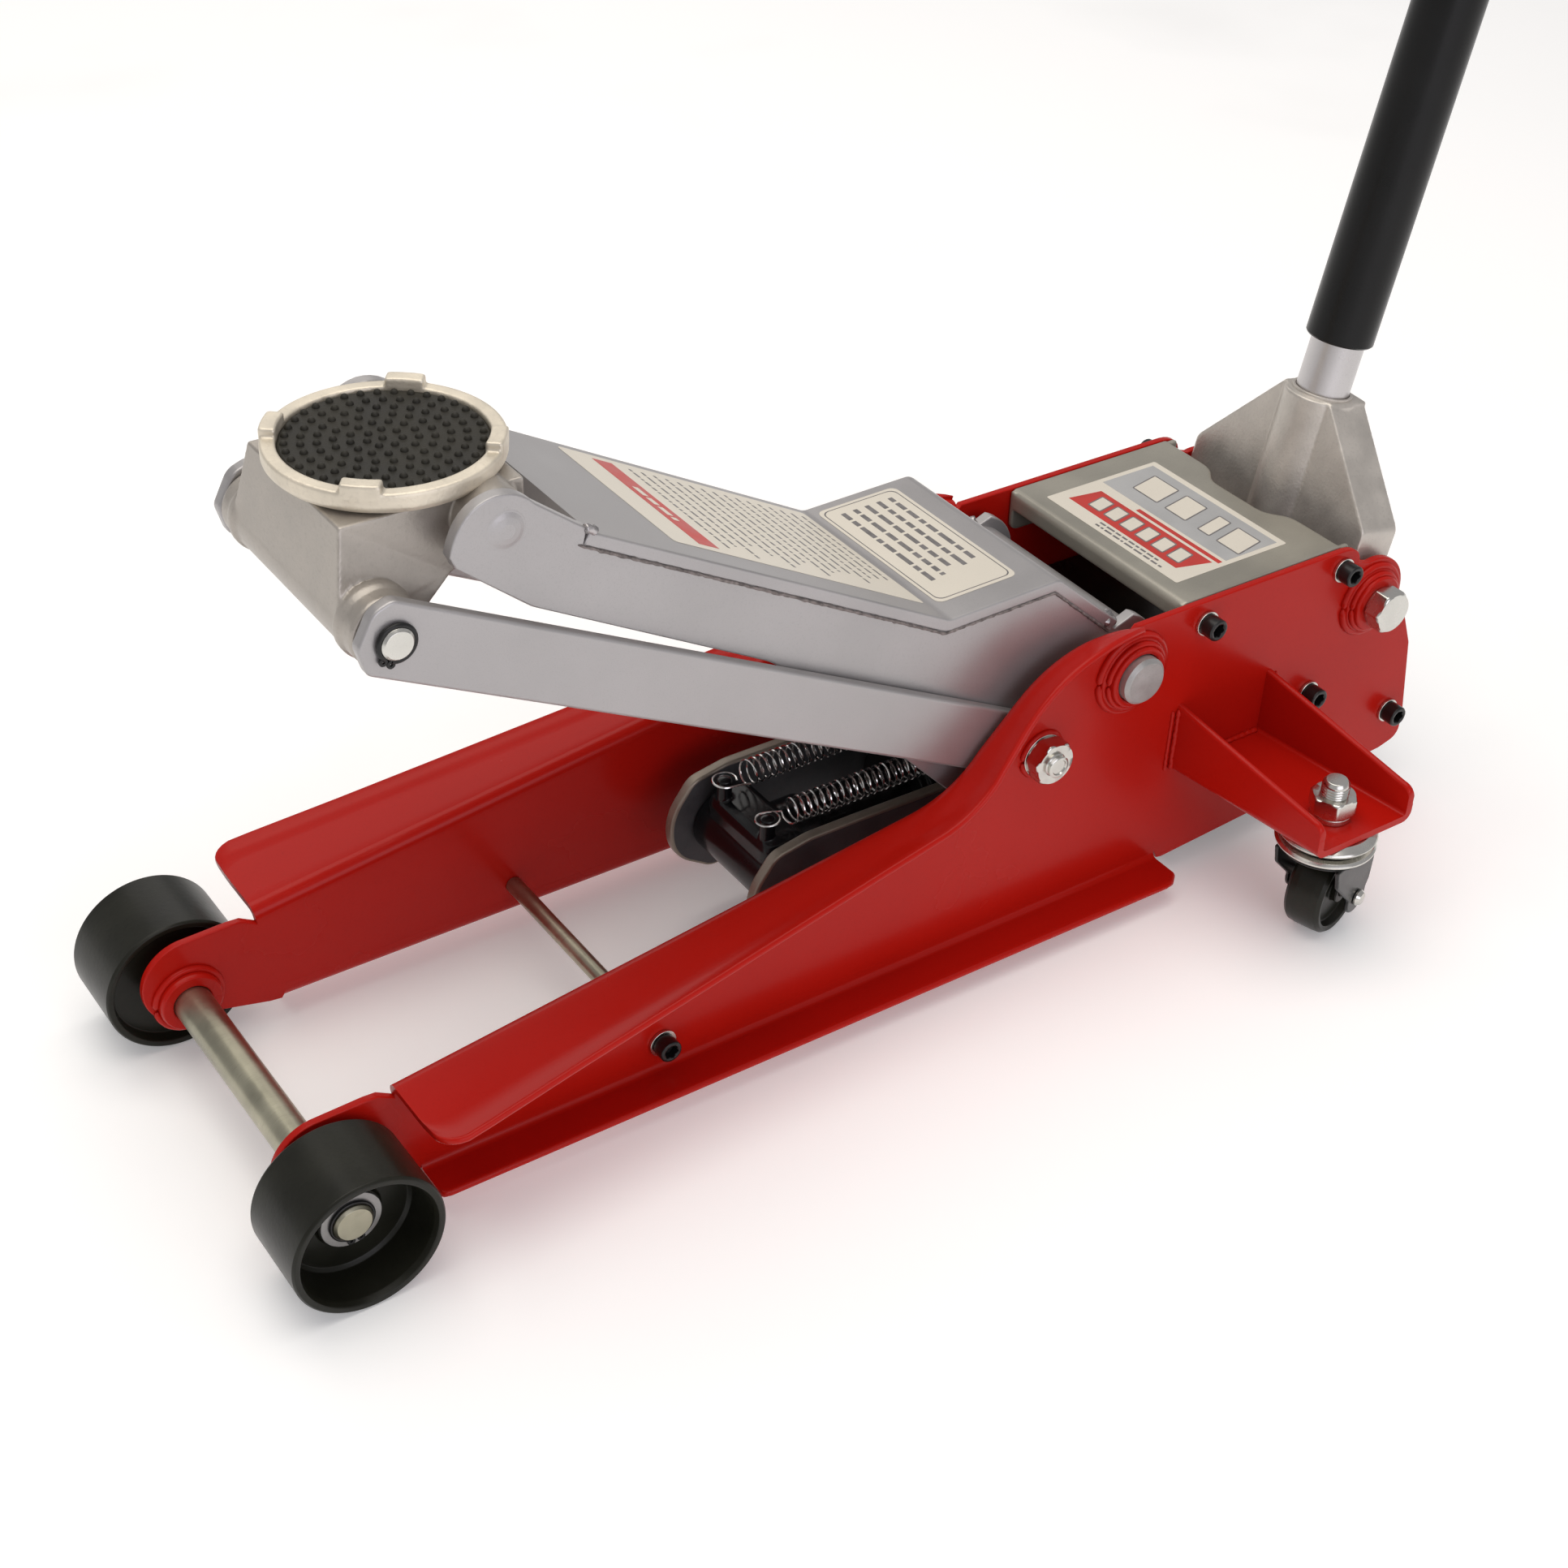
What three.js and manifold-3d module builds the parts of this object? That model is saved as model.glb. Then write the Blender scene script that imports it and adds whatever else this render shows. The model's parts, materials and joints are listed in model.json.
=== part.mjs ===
// Hydraulic trolley jack: steel chassis on two front wheels and two rear swivel casters, a welded lift
// arm with a levelling linkage, a swivelling saddle, a ram with link plates and a two-piston pump that
// is worked by a long handle.
// Units are millimetres. +X points to the front wheels, +Y to the left side, +Z up, the floor is z = 0.
import * as THREE from 'three';
import { mergeVertices } from 'three/addons/utils/BufferGeometryUtils.js';
import Module from 'manifold-3d';

const wasm = await Module();
wasm.setup();

// ---------------------------------------------------------------- driving dimensions
const GAP = 0.3;                                   // clearance kept between touching pieces
const ORIGIN_X = 490.9;                              // moves the front axle frame to the box centre

const AXLE = { x: 0, z: 45, radius: 11.75, halfLength: 133 };
const WHEEL = { radius: 45, inner: 98.3, outer: 152, bore: 12.2, hub: 19, rim: 4.5, hubFace: 127 };
const WEB = { inner: 86, thickness: 5, bottom: 15, frontTop: 84.6, slope: 0.1345, rearTop: 214.5 };
const WEB_OUTER = WEB.inner + WEB.thickness;
const TIE_ROD = { x: -219, z: 39, radius: 5.5 };
const COVER = { front: -604, rear: -742, top: 214.6, thickness: 4, halfWidth: 85.4, flange: 30 };

const ARM_PIVOT = new THREE.Vector2(-561.5, 182);  // shaft that the lift arm turns on
const HEAD_PIVOT = new THREE.Vector2(-136.5, 400.5);
const LINK_OFFSET = new THREE.Vector2(67.5, -37);  // arm pivot to rod pivot, and head pivot to head pin
const ROD_PIVOT = ARM_PIVOT.clone().add(LINK_OFFSET);
const HEAD_PIN = HEAD_PIVOT.clone().add(LINK_OFFSET);
const ARM = { inner: 67, outer: 75, shaft: 16, topPlate: 8, headPin: 9 };
const ROD = { inner: 76.5, outer: 84.5, width: 41.5, pin: 9 };
const HEAD = { halfWidth: 52, top: 413, front: -58, rear: -160 };
const SADDLE = {
  x: -110, bottom: 413.3, top: 426, stem: 12, lug: 5, radius: 61.75, recess: 53.5, floor: 419.3, turn: 52,
};

const RAM = { z: 70, crossX: -348, radius: 22, cylinder: 36, cylinderFront: -455 };
const LINK = { inner: 42, outer: 50, frontPin: 14, rearPin: 10, rearHole: 19, rearX: -515, rearZ: 78 };
const SPRING = { y: 24, z: 113, radius: 8.5, front: -344, rear: -622 };
const UNIT = { front: -624, rear: -829, halfWidth: 85.6, bottom: 28, tower: 144, base: 84, step: -743 };
const PISTON = { y: 30, z: 130, radius: 9, tip: -781, length: 81, bore: 86 };
const VALVE = { x: -770, radius: 11 };

const HANDLE_PIVOT = new THREE.Vector2(-773, 168.5);
const HANDLE = {
  lean: 11.6, tube: 18, tubeBore: 15.4, tubeEnd: 1150, sleeve: 22.8, sleeveStart: 147, sleeveEnd: 640,
  grip: 1010, end: 1160,
};
const SOCKET = { topZ: 110, topHalf: 23, shoulderZ: 44, halfWidth: 80.5, boreBottom: 26 };
const ROLLER = { x: -24.4, z: -31.7, radius: 9, half: 44, cheek: 46 };

const BRACKET = { front: -608, rear: -691, outer: 213, floor: 94, sheet: 5, webHeight: 47, endHeight: 22 };
const CASTER = { x: -659, y: 187, wheel: 32, halfWheel: 13, trail: 14, turn: 16, race: 32.5 };
const STUD = { top: 122, raceTop: 88.7, raceBottom: 80, foot: 66.5, thread: 8, shank: 6 };
const FORK = { half: 23, sheet: 2.5, crown: 71.5, raceTop: 78, tip: 9, rivet: 28 };

const SCREWS = [
  { name: 'cover_screw_front', x: -621.5, z: 198.5 },
  { name: 'cover_screw_rear', x: -741, z: 200.5 },
  { name: 'unit_screw_front', x: -729, z: 109 },
  { name: 'unit_screw_rear', x: -815.5, z: 64.5 },
];
const SCREW = { shank: 4.6, head: 7.5 };

// ---------------------------------------------------------------- finishes
function finish(color, roughness, metalness) {
  return new THREE.MeshStandardMaterial({ color, roughness, metalness });
}

const RED = finish('#a81c16', 0.3, 0.1);
const SILVER = finish('#a7a4a2', 0.45, 0.6);
const CAST = finish('#a79f8f', 0.55, 0.5);
const OLIVE = finish('#948f82', 0.45, 0.5);
const STEEL = finish('#9c9782', 0.35, 0.9);
const ZINC = finish('#c3c5c4', 0.25, 0.95);
const BLACK = finish('#161514', 0.4, 0.1);
const RUBBER = finish('#1c1b18', 0.8, 0);
const BLACK_STEEL = finish('#1b1a19', 0.35, 0.6);

// ---------------------------------------------------------------- geometry helpers
const ROUND = 20;                                  // sides of a round piece
const HOLE_SIDES = 16;                             // sides of a round hole in a plate

function solid(geometry) {
  const plain = geometry.clone();
  plain.deleteAttribute('normal');
  plain.deleteAttribute('uv');
  const merged = mergeVertices(plain, 1e-4);
  const mesh = new wasm.Mesh({
    numProp: 3,
    vertProperties: new Float32Array(merged.attributes.position.array),
    triVerts: new Uint32Array(merged.index.array),
  });
  return new wasm.Manifold(mesh);
}

function toGeometry(manifold) {
  const mesh = manifold.getMesh();
  const geometry = new THREE.BufferGeometry();
  geometry.setAttribute('position', new THREE.BufferAttribute(new Float32Array(mesh.vertProperties), 3));
  geometry.setIndex(new THREE.BufferAttribute(new Uint32Array(mesh.triVerts), 1));
  geometry.computeVertexNormals();
  return geometry;
}

const join = (...geometries) => geometries.map(solid).reduce((whole, next) => whole.add(next));
const cut = (whole, ...tools) => tools.map(solid).reduce((rest, tool) => rest.subtract(tool), whole);

// Extrudes an outline drawn in (x, z) between two y values.
function plateY(shape, y0, y1, curveSegments = 8) {
  const depth = Math.abs(y1 - y0);
  const geometry = new THREE.ExtrudeGeometry(shape, { depth, bevelEnabled: false, curveSegments });
  geometry.rotateX(Math.PI / 2);
  return geometry.translate(0, Math.max(y0, y1), 0);
}

// Extrudes an outline drawn in (x, y) between two z values.
function plateZ(shape, z0, z1, curveSegments = 8) {
  const settings = { depth: z1 - z0, bevelEnabled: false, curveSegments };
  return new THREE.ExtrudeGeometry(shape, settings).translate(0, 0, z0);
}

// Extrudes an outline drawn in (y, z) between two x values.
function plateX(shape, x0, x1, curveSegments = 8) {
  const geometry = new THREE.ExtrudeGeometry(shape, { depth: x1 - x0, bevelEnabled: false, curveSegments });
  geometry.rotateX(Math.PI / 2);
  geometry.rotateZ(Math.PI / 2);
  return geometry.translate(x0, 0, 0);
}

function box(x0, x1, y0, y1, z0, z1) {
  const geometry = new THREE.BoxGeometry(x1 - x0, y1 - y0, z1 - z0);
  return geometry.translate((x0 + x1) / 2, (y0 + y1) / 2, (z0 + z1) / 2);
}

// A cylinder along Y between y0 and y1, centred on (x, z).
function rodY(x, z, radius, y0, y1, sides = ROUND) {
  const geometry = new THREE.CylinderGeometry(radius, radius, Math.abs(y1 - y0), sides);
  return geometry.translate(x, (y0 + y1) / 2, z);
}

function rodX(y, z, radius, x0, x1, sides = ROUND) {
  const geometry = new THREE.CylinderGeometry(radius, radius, x1 - x0, sides);
  return geometry.rotateZ(Math.PI / 2).translate((x0 + x1) / 2, y, z);
}

function rodZ(x, y, radius, z0, z1, sides = ROUND) {
  const geometry = new THREE.CylinderGeometry(radius, radius, z1 - z0, sides);
  return geometry.rotateX(Math.PI / 2).translate(x, y, (z0 + z1) / 2);
}

// A turned piece about the Y axis; the profile is a list of [radius, y] and closes on itself or the axis.
function turnedY(profile, sides = ROUND) {
  return new THREE.LatheGeometry(profile.map(([r, y]) => new THREE.Vector2(r, y)), sides);
}

const turnedZ = (profile, sides = ROUND) => turnedY(profile, sides).rotateX(Math.PI / 2);

function outline(points) {
  return new THREE.Shape(points.map(([x, y]) => new THREE.Vector2(x, y)));
}

// Cuts a round hole whose flats, not its corners, lie at the given radius.
function hole(shape, x, y, radius) {
  const corner = radius / Math.cos(Math.PI / HOLE_SIDES);
  shape.holes.push(new THREE.Path().absarc(x, y, corner, 0, 2 * Math.PI, true));
  return shape;
}

// Mirrors a geometry to the other side of the y = 0 plane and keeps its faces pointing out.
function mirrored(geometry) {
  const copy = toGeometry(solid(geometry));
  copy.scale(1, -1, 1);
  for (let i = 0; i < copy.index.count; i += 3) {
    const first = copy.index.getX(i);
    copy.index.setX(i, copy.index.getX(i + 1));
    copy.index.setX(i + 1, first);
  }
  return copy;
}

const SIDES = [['left', 1], ['right', -1]];

const jack = new THREE.Group();
jack.position.x = ORIGIN_X;

function place(name, geometry, material, parent = jack) {
  const plain = geometry instanceof THREE.BufferGeometry ? geometry : toGeometry(geometry);
  const mesh = new THREE.Mesh(plain, material);
  mesh.name = name;
  parent.add(mesh);
  return mesh;
}

// Places a piece that is drawn for the left side, and its mirror image for the right side.
function placePair(name, piece, material, parent = jack) {
  const left = piece instanceof THREE.BufferGeometry ? toGeometry(solid(piece)) : toGeometry(piece);
  place(`${name}_left`, left, material, parent);
  place(`${name}_right`, mirrored(left), material, parent);
}

function group(x, z) {
  const holder = new THREE.Group();
  holder.position.set(x, 0, z);
  jack.add(holder);
  return holder;
}

// ---------------------------------------------------------------- chassis
const frontTopAt = (x) => WEB.frontTop - WEB.slope * x;

// The upper edge of a side plate from the valley behind the front part to the flat rear part.
function drawShoulder(path) {
  path.lineTo(-392, frontTopAt(-392));
  path.quadraticCurveTo(-425, 141, -443, 165);
  path.lineTo(-470, 192);
  path.quadraticCurveTo(-492, 214, -522, 218);
  path.quadraticCurveTo(-548, 220, -562, WEB.rearTop);
}

function sidePlateOutline() {
  const nose = { x: -2, z: 56, radius: 29 };
  const ear = { radius: 30, start: 70, end: 222 };
  const shape = new THREE.Shape();
  shape.moveTo(-612, WEB.bottom);
  shape.lineTo(-60, WEB.bottom);
  shape.lineTo(-46, nose.z - nose.radius);
  shape.absarc(nose.x, nose.z, nose.radius, -Math.PI / 2, THREE.MathUtils.degToRad(80), false);
  drawShoulder(shape);
  shape.lineTo(-747, WEB.rearTop);
  shape.quadraticCurveTo(-757, WEB.rearTop, -757, 203);
  const startAngle = THREE.MathUtils.degToRad(ear.start);
  const endAngle = THREE.MathUtils.degToRad(ear.end);
  shape.absarc(HANDLE_PIVOT.x, HANDLE_PIVOT.y, ear.radius, startAngle, endAngle, false);
  shape.lineTo(-818, 143);
  shape.lineTo(-826, 117);
  shape.lineTo(-834, 60);
  shape.lineTo(-835, 38);
  shape.lineTo(-819, WEB.bottom + 3);
  shape.closePath();
  hole(shape, AXLE.x, AXLE.z, AXLE.radius + GAP);
  hole(shape, TIE_ROD.x, TIE_ROD.z, 3.4);
  hole(shape, ARM_PIVOT.x, ARM_PIVOT.y, ARM.shaft + GAP);
  hole(shape, ROD_PIVOT.x, ROD_PIVOT.y, 8 + GAP);
  hole(shape, HANDLE_PIVOT.x, HANDLE_PIVOT.y, 8 + GAP);
  for (const { x, z } of SCREWS) hole(shape, x, z, SCREW.shank + GAP);
  return shape;
}

// The flange bent outward along the upper edge: a strip under that edge, trimmed by its plan outline.
function topFlange() {
  const strip = new THREE.Shape();
  strip.moveTo(-46, frontTopAt(-46));
  drawShoulder(strip);
  strip.lineTo(-562, WEB.rearTop - WEB.thickness);
  strip.quadraticCurveTo(-546, 213, -524, 212.5);
  strip.quadraticCurveTo(-496, 208, -474, 187);
  strip.lineTo(-440, 160);
  strip.quadraticCurveTo(-422, 136, -392, frontTopAt(-392) - WEB.thickness);
  strip.lineTo(-46, frontTopAt(-46) - WEB.thickness);
  const plan = new THREE.Shape();
  plan.moveTo(-46, WEB.inner);
  plan.lineTo(-46, 138);
  plan.quadraticCurveTo(-47, 153, -62, 153);
  plan.lineTo(-129, 146);
  plan.lineTo(-340, 127);
  plan.lineTo(-400, 122);
  plan.quadraticCurveTo(-440, 117, -465, 111);
  plan.lineTo(-520, 107);
  plan.quadraticCurveTo(-550, 104, -560, WEB_OUTER);
  plan.lineTo(-560, WEB.inner);
  return solid(plateY(strip, WEB.inner, 156)).intersect(solid(plateZ(plan, 60, 230)));
}

function bottomFlange() {
  const plan = outline([[-60, WEB.inner], [-60, 112], [-64, 115], [-600, 120], [-606, 117], [-612, 96],
    [-612, WEB.inner]]);
  return plateZ(plan, WEB.bottom, WEB.bottom + WEB.thickness);
}

function boss(centre, outerRadius, innerRadius, y0, y1) {
  const disc = new THREE.Shape().absarc(centre.x, centre.y, outerRadius, 0, 2 * Math.PI, false);
  return plateY(hole(disc, centre.x, centre.y, innerRadius), y0, y1);
}

function sidePlate() {
  const axleCentre = new THREE.Vector2(AXLE.x, AXLE.z);
  let plate = solid(plateY(sidePlateOutline(), WEB.inner, WEB_OUTER));
  plate = plate.add(topFlange());
  plate = plate.add(solid(bottomFlange()));
  plate = plate.add(solid(boss(axleCentre, 19.5, AXLE.radius + GAP, 79, WEB.inner + 1)));
  plate = plate.add(solid(boss(axleCentre, 17, AXLE.radius + GAP, WEB_OUTER - 1, 95.5)));
  plate = plate.add(solid(boss(ARM_PIVOT, 26, ARM.shaft + GAP, WEB_OUTER - 1, 95)));
  plate = plate.add(solid(boss(ARM_PIVOT, 21.5, ARM.shaft + GAP, WEB_OUTER - 1, 100)));
  plate = plate.add(solid(boss(HANDLE_PIVOT, 24, 8 + GAP, WEB_OUTER - 1, 95)));
  plate = plate.add(solid(boss(HANDLE_PIVOT, 20, 8 + GAP, WEB_OUTER - 1, 100)));
  return plate;
}

placePair('side_plate', sidePlate(), RED);
place('front_axle', rodY(AXLE.x, AXLE.z, AXLE.radius, -AXLE.halfLength, AXLE.halfLength), STEEL);
place('tie_rod', rodY(TIE_ROD.x, TIE_ROD.z, TIE_ROD.radius, GAP - WEB.inner, WEB.inner - GAP, 16), STEEL);

// A socket-head screw that enters the chassis from the left: head, washer and shank.
function socketScrew(x, z, shankRadius, headRadius, shankEnd) {
  const washer = [WEB_OUTER + GAP, WEB_OUTER + 2];
  const head = washer[1] + headRadius * 1.15;
  const shank = [[0, shankEnd], [shankRadius, shankEnd], [shankRadius, washer[0]]];
  const rim = [[headRadius + 2, washer[0]], [headRadius + 2, washer[1]]];
  const cap = [[headRadius, washer[1]], [headRadius, head], [0, head]];
  return turnedY([...shank, ...rim, ...cap], 12).translate(x, 0, z);
}

placePair('tie_rod_screw', socketScrew(TIE_ROD.x, TIE_ROD.z, 3, 7.5, WEB.inner), BLACK_STEEL);

// ---------------------------------------------------------------- cover plate over the power unit
function coverPlate() {
  const top = new THREE.Shape();
  top.moveTo(COVER.front, -COVER.halfWidth);
  top.lineTo(COVER.front, COVER.halfWidth);
  top.lineTo(COVER.rear, COVER.halfWidth);
  top.lineTo(COVER.rear, 48);
  top.bezierCurveTo(COVER.rear, 36, COVER.rear + 12, 36, COVER.rear + 12, 24);
  top.lineTo(COVER.rear + 12, -24);
  top.bezierCurveTo(COVER.rear + 12, -36, COVER.rear, -36, COVER.rear, -48);
  top.lineTo(COVER.rear, -COVER.halfWidth);
  const under = COVER.top - COVER.thickness;
  const inner = COVER.halfWidth - COVER.thickness;
  const side = box(COVER.rear - 10, COVER.front, inner, COVER.halfWidth, COVER.top - COVER.flange, under + 1);
  const lip = box(COVER.front - COVER.thickness, COVER.front, -inner, inner, COVER.top - 14, under + 1);
  return join(plateZ(top, under, COVER.top), side, mirrored(side), lip);
}

// ---------------------------------------------------------------- power unit, ram and pump
function powerUnitBody() {
  const { front, rear, bottom, tower, base, step, halfWidth } = UNIT;
  const profile = outline([[front, bottom], [front, tower - 8], [front - 8, tower], [step, tower],
    [step, base], [rear, base], [rear, bottom + 10], [rear + 10, bottom]]);
  return solid(plateY(profile, -halfWidth, halfWidth));
}

const screwBores = SCREWS.map(({ x, z }) => rodY(x, z, SCREW.shank + GAP, -WEB_OUTER - 5, WEB_OUTER + 5, 12));
const pistonBores = [-1, 1].map((side) => (
  rodX(side * PISTON.y, PISTON.z, PISTON.radius + GAP, UNIT.step - 5, UNIT.step + PISTON.bore, 16)
));
const cylinderSeat = rodX(0, RAM.z, RAM.cylinder + GAP, UNIT.front - 40, UNIT.front + 5);
const rodRoom = rodX(0, RAM.z, RAM.radius + 1, UNIT.front - 60, UNIT.front);
const valveSeat = rodZ(VALVE.x, 0, VALVE.radius + GAP, 60, UNIT.base + 5, 16);
const unitBores = [...screwBores.slice(2), ...pistonBores, cylinderSeat, rodRoom, valveSeat];
place('power_unit_body', cut(powerUnitBody(), ...unitBores), BLACK_STEEL);
place('cover_plate', cut(coverPlate(), ...screwBores.slice(0, 2)), OLIVE);

const ramBarrel = rodX(0, RAM.z, RAM.cylinder, UNIT.front - 39, RAM.cylinderFront);
const ramCollar = rodX(0, RAM.z, RAM.cylinder + 3, -500, RAM.cylinderFront - 6);
const ramBore = rodX(0, RAM.z, RAM.radius + GAP, UNIT.front - 45, RAM.cylinderFront + 5);
place('ram_cylinder', cut(join(ramBarrel, ramCollar), ramBore), BLACK_STEEL);

for (const { name, x, z } of SCREWS) {
  placePair(name, socketScrew(x, z, SCREW.shank, SCREW.head, 72), BLACK_STEEL);
}

// The tip of each pump piston meets the roller of the handle socket.
for (const [name, side] of SIDES) {
  const profile = [[0, 0], [7, 0], [PISTON.radius, 2], [PISTON.radius, PISTON.length], [0, PISTON.length]];
  const piston = turnedY(profile, 16).rotateZ(-Math.PI / 2);
  place(`pump_piston_${name}`, piston, ZINC).position.set(PISTON.tip, side * PISTON.y, PISTON.z);
}

function releaseValve() {
  const stem = rodZ(0, 0, VALVE.radius, 62, 90, 16);
  const fork = box(-6, 6, -9, 9, 89, 100);
  return cut(join(stem, fork), box(-3, 3, -10, 10, 93, 101));
}
place('release_valve', releaseValve(), STEEL).position.set(VALVE.x, 0, 0);

// ---------------------------------------------------------------- pivots carried by the chassis
function chamferedPin(radius, end) {
  const upper = [[radius, end - 1], [radius - 1, end], [0, end]];
  return turnedY([[0, -end], [radius - 1, -end], [radius, 1 - end], ...upper]);
}
place('arm_pivot_shaft', chamferedPin(ARM.shaft, 106), STEEL).position.set(ARM_PIVOT.x, 0, ARM_PIVOT.y);

// A hexagon across the given width, with a bore or solid.
function hexNut(width, y0, y1, bore) {
  const radius = width / Math.sqrt(3);
  const hexagon = new THREE.Shape();
  for (let corner = 0; corner < 6; corner += 1) {
    const angle = (corner + 0.5) * Math.PI / 3;
    const [x, z] = [radius * Math.cos(angle), radius * Math.sin(angle)];
    if (corner === 0) hexagon.moveTo(x, z);
    else hexagon.lineTo(x, z);
  }
  hexagon.closePath();
  return plateY(bore > 0 ? hole(hexagon, 0, 0, bore) : hexagon, y0, y1);
}

const rodBolt = turnedY([[0, 77], [ROD.pin, 77], [ROD.pin, 85.2], [8, 85.2], [8, 108], [7, 109], [0, 109]]);
placePair('rod_pivot_bolt', rodBolt.translate(ROD_PIVOT.x, 0, ROD_PIVOT.y), STEEL);
const rodNut = hexNut(27, WEB_OUTER + GAP, 105, 8 + GAP).translate(ROD_PIVOT.x, 0, ROD_PIVOT.y);
placePair('rod_pivot_nut', rodNut, ZINC);

const handleBoltShank = turnedY([[0, 62], [8, 62], [8, 100.3], [14.5, 100.3], [14.5, 103], [0, 103]]);
const handleBolt = join(handleBoltShank, hexNut(27, 102.5, 114, 0));
placePair('handle_pivot_bolt', handleBolt.translate([HANDLE_PIVOT.x, 0, HANDLE_PIVOT.y]), ZINC);

// ---------------------------------------------------------------- front wheels
function frontWheel() {
  const w = WHEEL;
  return turnedY([
    [w.bore, w.inner - 2], [w.hub, w.inner - 2], [w.hub, 106], [w.radius - w.rim, 106],
    [w.radius - w.rim, w.inner], [w.radius - 1, w.inner], [w.radius, w.inner + 1],
    [w.radius, w.outer - 1], [w.radius - 1, w.outer], [w.radius - w.rim, w.outer],
    [w.radius - w.rim - 2, 124], [w.hub, 124], [w.hub, w.hubFace], [w.bore, w.hubFace], [w.bore, w.inner - 2],
  ], 28);
}
placePair('front_wheel', frontWheel().translate(AXLE.x, 0, AXLE.z), BLACK);

// ---------------------------------------------------------------- caster brackets
// A channel of bent sheet that reaches outward and a little rearward from the side plate.
function casterBracket() {
  const b = BRACKET;
  const low = b.floor - b.sheet;
  const start = WEB_OUTER + GAP;
  const flange = new THREE.Shape();
  flange.moveTo(start, low);
  flange.lineTo(b.outer - 6, low);
  flange.quadraticCurveTo(b.outer, low, b.outer, low + 8);
  flange.lineTo(b.outer, low + b.endHeight - 7);
  flange.quadraticCurveTo(b.outer, low + b.endHeight, b.outer - 8, low + b.endHeight + 2);
  flange.lineTo(start, low + b.webHeight + b.sheet);
  const floor = outline([[b.rear, start], [b.front, start], [b.front, b.outer - 4], [b.front - 4, b.outer],
    [b.rear + 4, b.outer], [b.rear, b.outer - 4]]);
  const sweep = 0.115;
  const shear = new THREE.Matrix4().makeShear(0, 0, -sweep, 0, 0, 0).setPosition(sweep * WEB_OUTER, 0, 0);
  const sheets = [plateZ(floor, low, b.floor), plateX(flange, b.rear, b.rear + b.sheet, 5),
    plateX(flange, b.front - b.sheet, b.front, 5)].map((sheet) => sheet.applyMatrix4(shear));
  return cut(join(...sheets), rodZ(CASTER.x, CASTER.y, STUD.thread + GAP, low - 5, b.floor + 5, 16));
}
placePair('caster_bracket', casterBracket(), RED);

const stud = turnedZ([[0, STUD.foot], [STUD.shank, STUD.foot], [STUD.shank, STUD.raceBottom],
  [26, STUD.raceBottom], [CASTER.race, 83.5], [CASTER.race - 3, STUD.raceTop], [STUD.thread, STUD.raceTop],
  [STUD.thread, STUD.top - 1.5], [STUD.thread - 1.5, STUD.top], [0, STUD.top]]);
placePair('caster_stud', stud.translate(CASTER.x, CASTER.y, 0), ZINC);

// A hexagon nut with its spring washer, which tighten the stud on the bracket.
function casterNut() {
  const bottom = BRACKET.floor + GAP;
  const seat = bottom + 4;
  const bore = STUD.thread + GAP;
  const nut = hexNut(26, seat, seat + 13, bore).rotateX(Math.PI / 2);
  const washer = turnedZ([[bore, bottom], [13, bottom], [13, seat + 1], [bore, seat + 1], [bore, bottom]]);
  return join(nut, washer).translate([CASTER.x, CASTER.y, 0]);
}
placePair('caster_nut', casterNut(), ZINC);

// ---------------------------------------------------------------- casters
// Fork with its lower race; drawn with the swivel axis at the origin and the wheel trailing towards -X.
function casterFork() {
  const axle = { x: -CASTER.trail, z: CASTER.wheel };
  const leg = new THREE.Shape();
  leg.moveTo(-24, FORK.crown);
  leg.lineTo(22, FORK.crown);
  leg.lineTo(16, 56);
  leg.lineTo(axle.x + FORK.tip + 2, axle.z - 2);
  leg.absarc(axle.x, axle.z, FORK.tip, 0, -Math.PI, true);
  leg.lineTo(-27, 58);
  leg.closePath();
  const crown = rodZ(0, 0, 28, FORK.crown - FORK.sheet, FORK.crown);
  const race = turnedZ([[0, FORK.crown - 1], [26, FORK.crown - 1], [CASTER.race, FORK.crown + 3],
    [CASTER.race - 1, FORK.raceTop], [0, FORK.raceTop]]);
  const legs = [-1, 1].map((side) => plateY(leg, side * FORK.half, side * (FORK.half - FORK.sheet), 5));
  const rivet = rodY(axle.x, axle.z, 4, -FORK.rivet, FORK.rivet, 12);
  return cut(join(crown, race, ...legs, rivet), rodZ(0, 0, STUD.shank + GAP, 60, 82, 16));
}

function casterWheel() {
  const { wheel: r, halfWheel: h } = CASTER;
  return turnedY([[4.4, -h], [9, -h], [9, 3 - h], [r - 6, 3 - h], [r - 5, -h], [r - 2, -h], [r, 3 - h],
    [r, h - 3], [r - 2, h], [r - 5, h], [r - 6, h - 3], [9, h - 3], [9, h], [4.4, h], [4.4, -h]], 20);
}

for (const [side, sign] of SIDES) {
  const caster = new THREE.Group();
  caster.position.set(CASTER.x, sign * CASTER.y, 0);
  caster.rotation.z = sign * THREE.MathUtils.degToRad(CASTER.turn);
  jack.add(caster);
  place(`caster_fork_${side}`, casterFork(), BLACK_STEEL, caster);
  place(`caster_wheel_${side}`, casterWheel(), BLACK, caster).position.set(-CASTER.trail, 0, CASTER.wheel);
}

// ---------------------------------------------------------------- lift arm, drawn from its pivot
const arm = group(ARM_PIVOT.x, ARM_PIVOT.y);
const fromArm = (x, z) => [x - ARM_PIVOT.x, z - ARM_PIVOT.y];
const armCorners = [[-184, 385.8], [-425.3, 255.4], [-507.7, 257.2], [-560, 211.5]];
const ARM_TOP = armCorners.map(([x, z]) => fromArm(x, z));

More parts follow.
